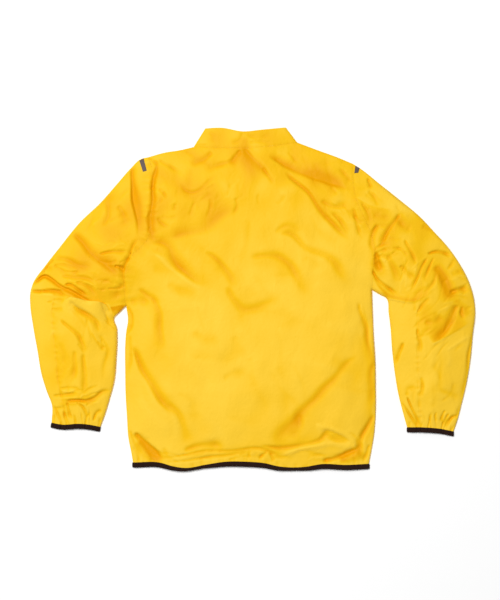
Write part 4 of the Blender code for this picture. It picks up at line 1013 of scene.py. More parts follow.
def lower_layer(x, y):
    """Height of the layer that rests on the floor, and its share of painted shade, deeper where its
    creases lift off the floor.
    """
    shape = x.shape
    x, y = x.ravel(), y.ravel()
    away = edge_distance(x, y)
    turn = np.clip(away / ROLL_UNDER, 0, 1)
    lifted = creases_height(x, y, UNDER_CREASES)[0]
    lifted += UNDER_SOFT * np.maximum(waves(x, y, *UNDER_WAVES), 0)
    lifted *= ramp((away - EDGE_FLAT) / EDGE_FALL)
    lifted *= ramp((np.abs(x - zip_x(y)) - PLATEAU_HALF) / ZIP_FALL)
    height = FLOOR_CLEAR + EDGE_MIDDLE * (1 - np.sqrt(1 - (1 - turn) ** 2))
    height += slider_rise(x, y) + lifted
    # Painted shade: the colour deepens where the creases of the lower layer lift off the floor.
    return height.reshape(shape), np.clip(lifted / UNDER_FULL_SHADE, 0, 1).reshape(shape)


# %% [markdown]
# ## From a grid of points to a piece of cloth
#
# Each panel is a grid: rows and columns of places in plan, lifted onto one of the two surfaces.
# The grid becomes a mesh with a UV map in metres along its threads and an attribute that holds
# the share of painted shade at each point. Solidify then gives the thin shell its own thickness,
# inwards, so that the outer face stays where the imported panel has it.

# %% Grid to mesh


def grid_faces(present):
    """Quads of the present cells, as indices into a grid of points."""
    wide = present.shape[1] + 1
    i, j = np.nonzero(present)
    corner = i * wide + j
    return np.stack([corner, corner + 1, corner + wide + 1, corner + wide], axis=1)


def thread_map(grid):
    """Lengths along the rows and along the columns, in metres."""
    step_u = np.linalg.norm(np.diff(grid, axis=1), axis=2)
    step_v = np.linalg.norm(np.diff(grid, axis=0), axis=2)
    u, v = np.zeros(grid.shape[:2]), np.zeros(grid.shape[:2])
    u[:, 1:], v[1:] = np.cumsum(step_u, axis=1), np.cumsum(step_v, axis=0)
    return np.stack([u - u.mean(axis=1, keepdims=True), v], axis=-1) * MM


def mark_open_edges(mesh):
    """The edges of the cloth are sharp, so that its thin rim doesn't bend the shading near it."""
    used = np.zeros(len(mesh.loops), int)
    mesh.loops.foreach_get("edge_index", used)
    is_open = np.bincount(used, minlength=len(mesh.edges)) == 1
    mesh.attributes.new("sharp_edge", "BOOLEAN", "EDGE").data.foreach_set("value", is_open)


def to_mesh(name, points, faces, finish, uv, hollow):
    """A smooth mesh object in metres at the origin, from a grid and its faces."""
    used = np.unique(faces)
    place = np.zeros(hollow.size, int)
    place[used] = np.arange(len(used))
    mesh = bpy.data.meshes.new(name)
    mesh.from_pydata(in_frame(points.reshape(-1, 3)[used]).tolist(), [], place[faces].tolist())
    layer = mesh.uv_layers.new(name="cut")
    layer.data.foreach_set("uv", uv.reshape(-1, 2)[faces.ravel()].ravel())
    depth = mesh.attributes.new("hollow", "FLOAT", "POINT")
    depth.data.foreach_set("value", hollow.ravel()[used])
    mesh.materials.append(finish)
    mesh.shade_smooth()
    mark_open_edges(mesh)
    return link_object(name, mesh)


# %% Pieces of cloth
CLOTH = 0.5


def hand_over(piece, body, replaces=None):
    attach(piece, body)
    if replaces:
        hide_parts(replaces)
    return piece


def cloth_piece(name, grid, hollow, replaces, present=None, finish=SHELL):
    """A thin shell of cloth from a grid, with all its cells or only those present."""
    if present is None:
        present = np.ones((len(grid) - 1, grid.shape[1] - 1), bool)
    faces = grid_faces(present)
    made = to_mesh(name, grid, faces, finish, thread_map(grid), hollow)
    shell = made.modifiers.new("cloth", "SOLIDIFY")
    shell.thickness = CLOTH * MM
    shell.offset = -1
    print(name, len(faces), "quads")
    return hand_over(made, "jacket", replaces)


def lay_top(plan):
    """A plan grid laid onto the upper layer, and its share of painted shade at each point."""
    height, lean_x, lean_y, hollow = upper_layer(plan[..., 0], plan[..., 1])
    return np.stack([plan[..., 0] + lean_x, plan[..., 1] + lean_y, height], axis=-1), hollow


def lay_under(plan):
    height, hollow = lower_layer(plan[..., 0], plan[..., 1])
    return np.stack([plan[..., 0], plan[..., 1], height], axis=-1), hollow


def lay_line(layer, line):
    """A single line of places, laid onto one of the two layers."""
    return layer(line[None])[0][0]


# %% [markdown]
# ## The back
#
# The back panel is the face of the whole picture. Its grid is stretched between the hem, the
# two sides with their armholes, and the top edge; close lines near the folded sides let the
# cloth roll round them, and five more turn it under to the seam with the fronts.

# %% Lines that the panels share
GRID_STEP, FINE_STEP, UNDER_STEP = 3.0, 2.5, 5.0
ROLL_LINES = (0.0, 0.5, 1.4, 2.8, 4.8, 7.2)
WRAP = (0.8, 1.8, 3.2, 5.0, 7.5)
BACK_WRAP = 7.5
UNDERARM_WRAP, UNDERARM_FROM = 5.3, 0.94
UNDERARM_ROW = 0.5
SEAM_GAP = 0.12


def top_edge():
    """Shoulder, back neck and shoulder as one curve, and where its two neck points lie."""
    parts = [CURVES[n] for n in ("shoulder_left", "neck_back", "shoulder_right")]
    runs = np.cumsum([long(part) for part in parts])
    return np.concatenate([parts[0], parts[1][1:], parts[2][1:]]), runs[:2] / runs[2]


TOP_EDGE, NECK_POINTS = top_edge()


def back_columns():
    """Column places across the hem's length, with one column at each neck point."""
    total = long(CURVES["hem"])
    left, right = NECK_POINTS * total
    outer = spaced(left, GRID_STEP, near_start=ROLL_LINES) * left
    neck = spaced(right - left, GRID_STEP) * (right - left) + left
    last = spaced(total - right, GRID_STEP, near_end=ROLL_LINES) * (total - right) + right
    columns = np.concatenate([outer, neck[1:], last[1:]]) / total
    return columns, len(outer) - 1, len(outer) + len(neck) - 2


BACK_U, NECK_A, NECK_B = back_columns()
SIDE_V = spaced(long(CURVES["side_left"]), GRID_STEP)
ARMHOLE_V = spaced(long(CURVES["armhole_left"]), GRID_STEP, near_end=ROLL_LINES)


def boundary_patch(u, rows_left, rows_right, v, low, high):
    """A plan patch whose left and right boundaries are lists of points, one for each row."""
    a, b = u[None, :, None], v[:, None, None]
    across = (1 - b) * low[None] + b * high[None]
    upward = (1 - a) * rows_left[:, None] + a * rows_right[:, None]
    corners = (1 - a) * ((1 - b) * low[0] + b * high[0]) + a * ((1 - b) * low[-1] + b * high[-1])
    return across + upward - corners


def row_parts(side_v, armhole_v):
    above = UNDERARM_ROW + (1 - UNDERARM_ROW) * armhole_v[1:]
    return np.concatenate([side_v * UNDERARM_ROW, above])


def side_and_armhole(side):
    low = along(CURVES["side_" + side], SIDE_V)
    return np.concatenate([low, along(CURVES["armhole_" + side], ARMHOLE_V)[1:]])


# %% Where the back ends underneath


def end_share(curve, side, distance):
    """The fraction of a curve that lies this far from its left or right end."""
    reach = distance / long(curve)
    return reach if side == "left" else 1 - reach


def side_inset(side, side_v, extra=0.0):
    """The side's points moved in to where the back panel ends underneath."""
    width = np.where(side_v > UNDERARM_FROM, UNDERARM_WRAP, BACK_WRAP) + extra
    inner = inset_curve(along(CURVES["side_" + side], side_v), width, HANDS[side])
    hem = CURVES["hem"]
    inner[0] = along(hem, [end_share(hem, side, BACK_WRAP + extra)])[0]
    return inner


def shoulder_inset(side, extra=0.0):
    """The line under the shoulder's fold where the back panel ends."""
    width = BACK_WRAP + extra
    inner = inset_curve(CURVES["shoulder_" + side], width, -1)
    armhole, neck = CURVES["armhole_" + side], CURVES["neck_front"]
    ends = [
        along(armhole, [end_share(armhole, "right", width)])[0],
        along(neck, [end_share(neck, side, width)])[0],
    ]
    if side == "right":
        ends = ends[::-1]
    run = lengths(inner)[:, None] / long(inner)
    return inner + (1 - run) * (ends[0] - inner[0]) + run * (ends[1] - inner[-1])


# %% [markdown]
# ## Sleeve lines
#
# A sleeve is a tube pressed flat. Its sections join the outer edge to the inner one, and near
# the armhole they bow with it. The lengthwise seam runs down the upper side.

# %% Sleeve plan
SLEEVE_SECTIONS = [(0.0, 0.0), (0.25, 0.06), (0.5, 0.15), (0.65, 0.38), (0.8, 0.66), (1.0, 1.0)]
ARMHOLE_REACH = 0.45
SEAM_FROM, SEAM_POINTS = 0.02, 90
SLEEVE_SEAM = {  # part of the way down, part of the way from outer to inner edge
    "left": [(0.0, 0.38), (0.45, 0.34), (0.6, 0.27), (1.0, 0.24)],
    "right": [(0.0, 0.38), (0.4, 0.5), (0.6, 0.69), (1.0, 0.72)],
}


def bulge(curve, u):
    """How far a curve bows away from the straight line between its ends."""
    ends = along(curve, [0, 1])
    return along(curve, u) - ends[0] - u[..., None] * (ends[1] - ends[0])


def bow_share(v):
    return (np.clip(1 - v / ARMHOLE_REACH, 0, 1) ** 2)[:, None, None]


def sleeve_plan(u, v, side):
    """Sections from the outer to the inner edge, bowed near the armhole and near the cuff."""
    inner_v = np.interp(v, *smooth_curve(SLEEVE_SECTIONS).T)
    outer = along(CURVES[f"sleeve_{side}_outer"], v)[:, None]
    inner = along(CURVES[f"sleeve_{side}_inner"], inner_v)[:, None]
    section = outer + u[..., None] * (inner - outer)
    section = section + bow_share(v) * bulge(CURVES["armhole_" + side][::-1], u)
    return section + bow_share(1 - v) * bulge(CURVES["cuff_" + side], u)


def seam_share(v, side):
    """How far across each section the lengthwise seam lies."""
    return np.interp(v, *np.array(SLEEVE_SEAM[side]).T)[:, None]


def sleeve_seam_line(side):
    v = np.linspace(SEAM_FROM, 1, SEAM_POINTS)
    return sleeve_plan(seam_share(v, side), v, side)[:, 0]


SEAM_LINES = {side: sleeve_seam_line(side) for side in HANDS}
print("sleeve seams:", {side: round(long(line)) for side, line in SEAM_LINES.items()})

# %% Make the back


def make_back():
    low, high = along(CURVES["hem"], BACK_U), along(TOP_EDGE, BACK_U)
    left, right = side_and_armhole("left"), side_and_armhole("right")
    plan = boundary_patch(BACK_U, left, right, row_parts(SIDE_V, ARMHOLE_V), low, high)
    rows, columns = plan.shape[:2]
    turns, side_rows = len(WRAP), len(SIDE_V)
    over = slice(turns, turns + columns)
    grid = np.zeros((rows + turns, columns + 2 * turns, 3))
    hollow = np.zeros(grid.shape[:2])
    grid[:rows, over], hollow[:rows, over] = lay_top(plan)
    for k, width in enumerate(WRAP):
        part = width / BACK_WRAP
        for side, edge, column in (("left", 0, turns - 1 - k), ("right", -1, turns + columns + k)):
            fold = plan[:side_rows, edge]
            inner = side_inset(side, SIDE_V)
            grid[:side_rows, column] = lay_under(fold + part * (inner - fold))[0]
        for side, first, last in (("left", 0, NECK_A), ("right", NECK_B, columns - 1)):
            fold = plan[-1, first : last + 1]
            run = BACK_U[first : last + 1] - BACK_U[first]
            inner = along(shoulder_inset(side), run / run[-1])
            at = slice(turns + first, turns + last + 1)
            grid[rows + k, at] = lay_under(fold + part * (inner - fold))[0]
    present = np.ones((rows + turns - 1, columns + 2 * turns - 1), bool)
    present[side_rows - 1 :, :turns] = False
    present[side_rows - 1 :, turns + columns - 1 :] = False
    present[rows - 1 :, turns + NECK_A : turns + NECK_B] = False
    return cloth_piece("back_cloth", grid, hollow, "back", present)


back_cloth = make_back()

# %% [markdown]
# ## The fronts
#
# Both fronts lie underneath, flat on the floor, and meet at the zip. Nobody sees much of them,
# so their grid is wider, but they have creases of their own that lift off the floor.

# %% Make the fronts
FRONT_EDGE = 4.2
SHOULDER_POINTS = 20
FRONT_SIDE_V = spaced(long(CURVES["side_left"]), UNDER_STEP)
FRONT_ARMHOLE_V = spaced(long(CURVES["armhole_left"]), UNDER_STEP, near_end=(BACK_WRAP,))


def neck_front_half(name, side):
    """Half of a curve round the front of the neck, from the neck point to the front edge."""
    curve, hand = CURVES[name], HANDS[side]
    fraction = lengths(curve) / long(curve)
    beyond = (curve[:, 0] - zip_x(curve[:, 1]) - hand * FRONT_EDGE) * hand
    order = np.argsort(beyond)
    split = float(np.interp(0, beyond[order], fraction[order]))
    return sub_curve(curve, 0 if side == "left" else 1, split)


def hem_share(hand):
    """The fraction of the hem at which a front's edge meets it."""
    hem = CURVES["hem"]
    return np.interp(ZIP_X_HEM + hand * FRONT_EDGE, hem[:, 0], lengths(hem) / long(hem))


def make_front(side):
    way = HANDS[side]
    neck = neck_front_half("neck_front", side)
    shoulder = shoulder_inset(side, SEAM_GAP)[::-way]
    shoulder = along(shoulder, np.linspace(0, 1, SHOULDER_POINTS))
    neck_v = spaced(long(neck), UNDER_STEP, near_start=(BACK_WRAP,))
    top = np.concatenate([shoulder, along(neck, neck_v)[1:]])
    u = lengths(top) / long(top)
    start = end_share(CURVES["hem"], side, BACK_WRAP + SEAM_GAP)
    hem = along(CURVES["hem"], start + u * (hem_share(way) - start))
    inner = side_inset(side, FRONT_SIDE_V, SEAM_GAP)
    armhole = along(CURVES["armhole_" + side], FRONT_ARMHOLE_V)
    outer = np.concatenate([inner, armhole[1:-1], top[:1]])
    v = row_parts(FRONT_SIDE_V, FRONT_ARMHOLE_V)
    v = v / v[-1]
    edge = hem[-1] + v[:, None] * (top[-1] - hem[-1])
    grid, hollow = lay_under(boundary_patch(u, outer, edge, v, hem, top))
    return cloth_piece(f"front_{side}_cloth", grid[:, ::way], hollow[:, ::way], "front_" + side)


fronts = {side: make_front(side) for side in HANDS}

# %% [markdown]
# ## The sleeves
#
# Each sleeve is two pieces, joined along the upper seam and one more underneath. The upper
# side has a fine grid for its many creases, the lower side a wider one.

# %% Make the sleeves
SLEEVE_ROWS = 300
OUTER_CELLS, INNER_CELLS, UNDER_CELLS = 44, 62, 40
SEAM_AT_TOP, SEAM_SETTLES = 0.38, 0.2
UNDER_SEAM = 0.45


def cells(count):
    return np.linspace(0, 1, count + 1)[None]


def sleeve_rows(side):
    """Places across the upper side and across the lower side, for each row of the sleeve."""
    v = np.linspace(0, 1, SLEEVE_ROWS + 1)
    ends = sleeve_plan(np.tile([0.0, 1.0], (len(v), 1)), v, side)
    width = np.linalg.norm(ends[:, 1] - ends[:, 0], axis=1)[:, None]
    near = np.array(ROLL_LINES)[None] / width
    seam = SEAM_AT_TOP + ramp(v / SEAM_SETTLES)[:, None] * (seam_share(v, side) - SEAM_AT_TOP)
    first, last = near[:, -1:], 1 - near[:, -1:]
    outer = first + (seam - first) * cells(OUTER_CELLS)
    inner = seam + (last - seam) * cells(INNER_CELLS)[:, 1:]
    top = np.concatenate([near[:, :-1], outer, inner, 1 - near[:, -2::-1]], axis=1)
    middle = first + (1 - 2 * first) * cells(UNDER_CELLS)[:, 1:-1]
    under = np.concatenate([near[:, 1:], middle, 1 - near[:, :0:-1]], axis=1)
    return v, top, under, len(ROLL_LINES) - 1 + OUTER_CELLS


def make_sleeve(side):
    v, top_u, under_u, seam_column = sleeve_rows(side)
    plans = [sleeve_plan(u, v, side) for u in (top_u, under_u)]
    for plan in plans:
        plan[0] = inset_curve(plan[0], SEAM_GAP, HANDS[side])
    (top, top_shade), (under, under_shade) = lay_top(plans[0]), lay_under(plans[1])
    ring = np.concatenate([top, under[:, ::-1]], axis=1)[:: HANDS[side]]
    hollow = np.concatenate([top_shade, under_shade[:, ::-1]], axis=1)[:: HANDS[side]]
    count = ring.shape[1]
    under_seam = top.shape[1] + round(under.shape[1] * UNDER_SEAM)
    spans = {
        "top": np.arange(seam_column, under_seam + 1),
        "under": np.arange(under_seam, count + seam_column + 1) % count,
    }
    made = {"ring": ring}
    for half, span in spans.items():
        name = f"sleeve_{side}_{half}"
        made[half] = cloth_piece(name + "_cloth", ring[:, span], hollow[:, span], name)
    return made


sleeves = {side: make_sleeve(side) for side in HANDS}

# %% [markdown]
# ## The collar
#
# A short stand collar, folded flat with the neck: from the zip to the neck point underneath,
# over the back, and round to the zip again.

# %% Make the collar
COLLAR_ROWS = 18
COLLAR_NEAR = (0.8, 2.0, 4.0, 7.0)


def collar_half(side):
    """Seam and top edge of the collar's half underneath, from zip to neck point."""
    seam, top = neck_front_half("neck_front", side), neck_front_half("collar_front_top", side)
    parts = spaced(long(seam), UNDER_STEP, near_start=COLLAR_NEAR)[::-1]
    return along(seam, parts), along(top, parts)


def make_collar():
    seam_l, top_l = collar_half("left")
    seam_r, top_r = collar_half("right")
    run = spaced(long(CURVES["neck_back"]), FINE_STEP, ROLL_LINES, ROLL_LINES)
    seam = np.concatenate([seam_l, along(CURVES["neck_back"], run), seam_r[::-1]])
    top = np.concatenate([top_l, along(CURVES["collar_top"], run), top_r[::-1]])
    over = np.zeros(len(seam), bool)
    over[len(seam_l) : len(seam_l) + len(run)] = True
    part = np.linspace(0, 1, COLLAR_ROWS + 1)[:, None, None]
    plan = seam + SEAM_GAP * unit(top - seam) * (1 - part) + part * (top - seam)
    (upper, upper_shade), (lower, lower_shade) = lay_top(plan), lay_under(plan)
    grid = np.where(over[None, :, None], upper, lower)
    hollow = np.where(over[None], upper_shade, lower_shade)
    return cloth_piece("collar_cloth", grid, hollow, "collar")


collar_cloth = make_collar()

# %% [markdown]
# ## Elastic bindings
#
# A dark, folded elastic tape closes the hem and the cuffs, about 10 mm wide. Its section is a
# rounded flat loop, carried along the edge of the cloth, and it rests on the floor underneath.

# %% Bindings
BINDING_SECTION = [  # along the cloth's way, outwards
    (-0.9, -0.25), (-0.5, 0.35), (1.2, 0.75), (3.4, 0.9), (5.6, 0.95), (7.8, 0.85), (9.4, 0.55),
    (10.2, 0.0), (10.2, -1.0), (9.2, -1.6), (7.0, -1.9), (4.0, -1.9), (1.2, -1.7), (-0.6, -1.2),
]
BAND_STITCH = (1.6, 0.82)  # where the stitches lie on it, along and outwards
dark_paths = []


def binding_piece(name, loop, ways, closed, replaces):
    """A rounded band along the edge of the cloth, facing outwards all round."""
    step = np.roll(loop, -1, 0) - np.roll(loop, 1, 0) if closed else np.gradient(loop, axis=0)
    outward = unit(np.cross(unit(step), ways))
    section = np.array(BINDING_SECTION)
    ring = loop[:, None] + section[None, :, :1] * ways[:, None]
    ring = ring + section[None, :, 1:] * outward[:, None]
    ring[..., 2] = np.maximum(ring[..., 2], LEAST_Z)
    rows, columns = ring.shape[:2]
    i, j = np.indices((rows if closed else rows - 1, columns))
    here, there, beside = i * columns, (i + 1) % rows * columns, (j + 1) % columns
    faces = np.stack([here + j, here + beside, there + beside, there + j], axis=-1).reshape(-1, 4)
    uv = np.stack(np.meshgrid(lengths(loop), lengths(section), indexing="ij"), axis=-1) * MM
    made = to_mesh(name, ring, faces, BINDING, uv, np.zeros(rows * columns))
    print(name, len(faces), "quads, loop", round(long(loop)), "mm")
    band = loop + BAND_STITCH[0] * ways + BAND_STITCH[1] * outward
    band[:, 2] = np.maximum(band[:, 2], FLOOR_CLEAR)
    if closed:
        band, outward = (np.concatenate([line, line[:1]]) for line in (band, outward))
    dark_paths.append((band, outward))
    return hand_over(made, "jacket", replaces)


# %% The hem's elastic
HEM_TIPS = [(-126, 46, 0.42), (90, 40, 0.36)]  # middle x, reach and share lost where it tips under


def hem_loop():
    """The cloth's edge at the hem: from one side of the zip round the back to the other side."""
    curve = CURVES["hem"]
    ends = np.array(ROLL_LINES)[::-1] / long(curve)
    step = GRID_STEP / long(curve)
    left, right = (
        np.concatenate([np.arange(start, ends[0], -step), ends[:-1]])
        for start in (hem_share(-1), 1 - hem_share(1))
    )
    over = spaced(long(curve), FINE_STEP, ROLL_LINES, ROLL_LINES)
    under_left, under_right = (lay_line(lay_under, along(curve, at)) for at in (left, 1 - right))
    return np.concatenate([under_left, lay_line(lay_top, along(curve, over)), under_right[::-1]])


def hem_ways(edge):
    """The band's way off the hem, shorter where the full cloth rolls over it and tips it under."""
    shown = np.ones(len(edge))
    for middle, reach, lost in HEM_TIPS:
        shown -= lost * np.exp(-(((edge[:, 0] - middle) / reach) ** 2))
    return shown[:, None] * [0.0, -1.0, 0.0]


hem_edge = hem_loop()
hem_binding = binding_piece("hem_elastic", hem_edge, hem_ways(hem_edge), False, "hem_binding")

# %% The cuffs' elastics
CUFF_ROWS = 3


def make_cuff(side):
    """The band of one cuff, with the ring of its edge turned so that it faces outwards."""
    ring = sleeves[side]["ring"][:: -HANDS[side]]
    edge, before = ring[0], ring[CUFF_ROWS]
    way = ((edge - before) * (1, 1, 0)).mean(axis=0)
    ways = np.tile(unit(way), (len(edge), 1))
    name = f"cuff_{side}_elastic"
    return binding_piece(name, edge[:: HANDS[side]], ways, True, f"cuff_binding_{side}")


cuffs = {side: make_cuff(side) for side in HANDS}

# %% [markdown]
# ## Shoulder tabs
#
# A short reflective tab is sewn on at each shoulder point. Its points are the cloth's own, moved
# out. Search trees over the outer faces later seat the stitches on the cloth and on the tabs.

# %% Seats on the cloth


def face_tree(pieces):
    points, faces = [], []
    for piece in pieces:
        base = len(points)
        points += [v.co.copy() for v in piece.data.vertices]
        faces += [[base + i for i in p.vertices] for p in piece.data.polygons]
    return BVHTree.FromPolygons(points, faces)


def seat(tree, points, lift):
    """Points moved onto the nearest outer face and a little off it, with its direction there."""
    found = [tree.find_nearest(Vector(point))[:2] for point in in_frame(points)]
    seats, ups = (np.array(column) for column in zip(*found))
    return seats / MM - TABLE_TO_FRAME + lift * ups, ups


around = [collar_cloth, *(sleeves[side][half] for half in ("top", "under") for side in HANDS)]
OVER = face_tree([back_cloth, *around])
UNDER = face_tree([*fronts.values(), *around])

# %% Make the tabs
TABS = {  # corners in plan: upper left, upper right, lower right, lower left
    "left": [(-244, 299), (-235, 304), (-228, 277), (-236, 275)],
    "right": [(222, 288), (231, 283), (228, 273), (219.5, 272)],
}
TAB_LIFT, STITCH_LIFT = 0.85, 0.04
TAB_GRID, TAB_STITCHES = (0, 1, 9, 0, 1, 19), (0.1, 0.9, 7, 0.05, 0.95, 15)


def tab_plan(side, first_u, last_u, count_u, first_v, last_v, count_v):
    """Places across and up a tab, as shares of its width and length."""
    u = np.linspace(first_u, last_u, count_u)[None, :, None]
    v = np.linspace(first_v, last_v, count_v)[:, None, None]
    a, b, c, d = np.array(TABS[side], float)
    return (1 - v) * ((1 - u) * d + u * c) + v * ((1 - u) * a + u * b)


def make_tab(side):
    name = "shoulder_tab_" + side
    grid = lay_top(tab_plan(side, *TAB_GRID))[0]
    grid = grid + TAB_LIFT * unit(np.cross(np.gradient(grid, axis=1), np.gradient(grid, axis=0)))
    flat = np.zeros(grid.shape[:2])
    film = cloth_piece(name + "_film", grid, flat, name, finish=REFLECTIVE)
    border = tab_plan(side, *TAB_STITCHES)
    ring = np.concatenate([border[0], border[1:, -1], border[-1, -2::-1], border[-2::-1, 0]])
    raised = lay_line(lay_top, ring) + (0, 0, TAB_LIFT)
    dark_paths.append(seat(face_tree([film]), raised, STITCH_LIFT))
    return film


tabs = {side: make_tab(side) for side in HANDS}

# %% [markdown]
# ## The zip
#
# Two tapes lie inside the fronts and meet behind the teeth. They part at the slider's neck.

# %% Zip tapes
TAPE_OUTER, TAPE_LIFT, TAPE_STEP = 15.0, 2.3, 2.0
TAPE_MEETS, TAPE_PARTS = 0.35, 2.9
TAPE_COLUMNS, LAST_ROW = 7, 0.1  # the small allowance keeps the last row
SLIDER_FRONT, SLIDER_NECK = 7.0, 3.0


def tape_inner(y):
    """How far the tape's inner edge is from the zip's middle line."""
    part = ramp((y - SLIDER_Y) / (SLIDER_FRONT - SLIDER_NECK))
    return TAPE_MEETS + (TAPE_PARTS - TAPE_MEETS) * part


def make_tape(side):
    y = np.arange(ZIP_Y_HEM + TAPE_STEP, ZIP_Y_TOP - TAPE_STEP + LAST_ROW, TAPE_STEP)[:, None]
    part = np.linspace(0, 1, TAPE_COLUMNS)[:: HANDS[side]]
    inner = tape_inner(y)
    x = zip_x(y) + HANDS[side] * (inner + part * (TAPE_OUTER - inner))
    grid = lay_under(np.stack(np.broadcast_arrays(x, y), axis=-1))[0] + (0, 0, TAPE_LIFT)
    name, flat = "zip_tape_" + side, np.zeros(x.shape)
    return cloth_piece(name + "_woven", grid, flat, name, finish=TAPE_CLOTH)


tapes = {side: make_tape(side) for side in HANDS}

# %% [markdown]
# ## Beads along a path
#
# A stitch and a zip tooth are both a small rounded bead. Geometry Nodes set the beads out along
# a path at an even pitch, each turned to the path and to the surface under it.

# %% Bead tree
BEAD_SIZES = ("Pitch", "Long", "Wide", "High")


def make_bead_tree():
    tree = bpy.data.node_groups.new("beads_along_path", "GeometryNodeTree")
    inputs = {"Geometry": "Geometry", **dict.fromkeys(BEAD_SIZES, "Float"), "Finish": "Material"}
    for socket, kind in inputs.items():
        tree.interface.new_socket(socket, in_out="INPUT", socket_type="NodeSocket" + kind)
    tree.interface.new_socket("Geometry", in_out="OUTPUT", socket_type="NodeSocketGeometry")
    given = tree.nodes.new("NodeGroupInput").outputs

    def step(kind, links=(), **settings):
        return add_node(tree, kind, links, **settings).outputs[0]

    path = step("GeometryNodeMeshToCurve", {"Mesh": given["Geometry"]})
    pitch = {"Curve": path, "Length": given["Pitch"]}
    places = step("GeometryNodeResampleCurve", pitch, mode="LENGTH")
    ball = step("GeometryNodeMeshUVSphere", {"Segments": 6, "Rings": 4, "Radius": 0.5})
    smooth = step("GeometryNodeSetShadeSmooth", {"Geometry": ball})
    sizes = {"X": given["Long"], "Y": given["Wide"], "Z": given["High"]}
    scale = step("ShaderNodeCombineXYZ", sizes)
    bead = step("GeometryNodeTransform", {"Geometry": smooth, "Scale": scale})
    up = step("GeometryNodeInputNamedAttribute", {"Name": "up"}, data_type="FLOAT_VECTOR")
    align = "FunctionNodeAlignRotationToVector"
    upright = step(align, {"Vector": up}, axis="Z")
    forward = {"Rotation": upright, "Vector": step("GeometryNodeInputTangent")}
    turned = step(align, forward, axis="X", pivot_axis="Z")
    placed = {"Points": places, "Instance": bead, "Rotation": turned}
    beads = step("GeometryNodeInstanceOnPoints", placed)
    real = step("GeometryNodeRealizeInstances", {"Geometry": beads})
    finished = step("GeometryNodeSetMaterial", {"Geometry": real, "Material": given["Finish"]})
    tree.links.new(finished, tree.nodes.new("NodeGroupOutput").inputs[0])
    return tree


BEADS = make_bead_tree()

# %% Set beads out along paths


def set_out(name, paths, finish, sizes, replaces=None):
    """One mesh of beads along some paths, each given as its points and their upward ways."""
    edges, first = [], 0
    for path, _ in paths:
        edges += [(first + i, first + i + 1) for i in range(len(path) - 1)]
        first += len(path)
    points, ups = (np.concatenate(column) for column in zip(*paths))
    line = bpy.data.meshes.new(name + "_path")
    line.from_pydata(in_frame(points).tolist(), edges, [])
    line.attributes.new("up", "FLOAT_VECTOR", "POINT").data.foreach_set("vector", ups.ravel())
    made = link_object(name, line)
    modifier = made.modifiers.new("beads", "NODES")
    modifier.node_group = BEADS
    given = dict(zip(BEAD_SIZES, [size * MM for size in sizes]), Finish=finish)
    for socket in BEADS.interface.items_tree:
        if socket.in_out == "INPUT" and socket.name in given:
            modifier[socket.identifier] = given[socket.name]
    graph = bpy.context.evaluated_depsgraph_get()
    mesh = bpy.data.meshes.new_from_object(made.evaluated_get(graph))
    made.modifiers.remove(modifier)
    place = np.zeros(len(mesh.vertices) * 3)
    mesh.vertices.foreach_get("co", place)
    place[2::3] = np.maximum(place[2::3], LEAST_Z * MM)
    mesh.vertices.foreach_set("co", place)
    made.data = mesh
    bpy.data.meshes.remove(line)
    mesh.name = name
    print(name, len(mesh.polygons), "faces")
    return hand_over(made, "jacket", replaces)


# %% Zip teeth
TOOTH_PITCH, TOOTH_SIZE = 1.7, (0.95, 3.1, 1.5)
TOOTH_OFF, TOOTH_MIDDLE = 1.05, 1.05
TEETH_FROM, TEETH_TO = 2.6, 0.8


def teeth_path(hand, start):
    top = SLIDER_Y + SLIDER_FRONT - SLIDER_NECK - TEETH_TO
    y = np.arange(ZIP_Y_HEM + TEETH_FROM + start, top, TAPE_STEP)
    plan = np.stack([zip_x(y) + hand * TOOTH_OFF, y], axis=-1)
    return lay_line(lay_under, plan) + (0, 0, TOOTH_MIDDLE), np.tile([0.0, 0.0, 1.0], (len(y), 1))


teeth_paths = [teeth_path(-1, 0.0), teeth_path(1, TOOTH_PITCH / 2)]
teeth = set_out("zip_teeth", teeth_paths, MOULDED, (TOOTH_PITCH, *TOOTH_SIZE), "zip_coil")

# %% [markdown]
# ## Slider and pull
#
# The slider's outside faces the floor: a base plate with a small bridge below it. The inner
# plate stands on a wedge-shaped neck. The pull hangs in the bridge by the bar of its eye.

# %% Closed parts


def prism(outline, low, high, stand=False):
    """Points and faces of an extruded outline, in plan or, standing, in the plane of the zip."""
    count = len(outline)
    points = [(z, *p) if stand else (*p, z) for z in (low, high) for p in outline]
    sides = [[i, (i + 1) % count, count + (i + 1) % count, count + i] for i in range(count)]
    return points, sides + [list(range(count))[::-1], [count + i for i in range(count)]]


def ring_prism(outer, inner, low, high):
    """A plate with a hole: both loops have the same number of points."""
    count = len(outer)
    points = [(*p, z) for z in (low, high) for loop in (outer, inner) for p in loop]
    faces = []
    for i in range(count):
        k = (i + 1) % count
        for a, b in ((0, 1), (1, 3), (3, 2), (2, 0)):
            faces.append([a * count + i, b * count + i, b * count + k, a * count + k])
    return points, faces


def rounded_box(box, corner, count=6):
    """A closed loop of points round a box with rounded corners."""
    x0, y0, x1, y1 = box
    right, left, top, bottom = x1 - corner, x0 + corner, y1 - corner, y0 + corner
    loop = []
    for index, (x, y) in enumerate(((right, top), (left, top), (left, bottom), (right, bottom))):
        turn = np.radians(90 * index + np.linspace(0, 90, count))
        loop += list(zip(x + corner * np.cos(turn), y + corner * np.sin(turn)))
    return loop


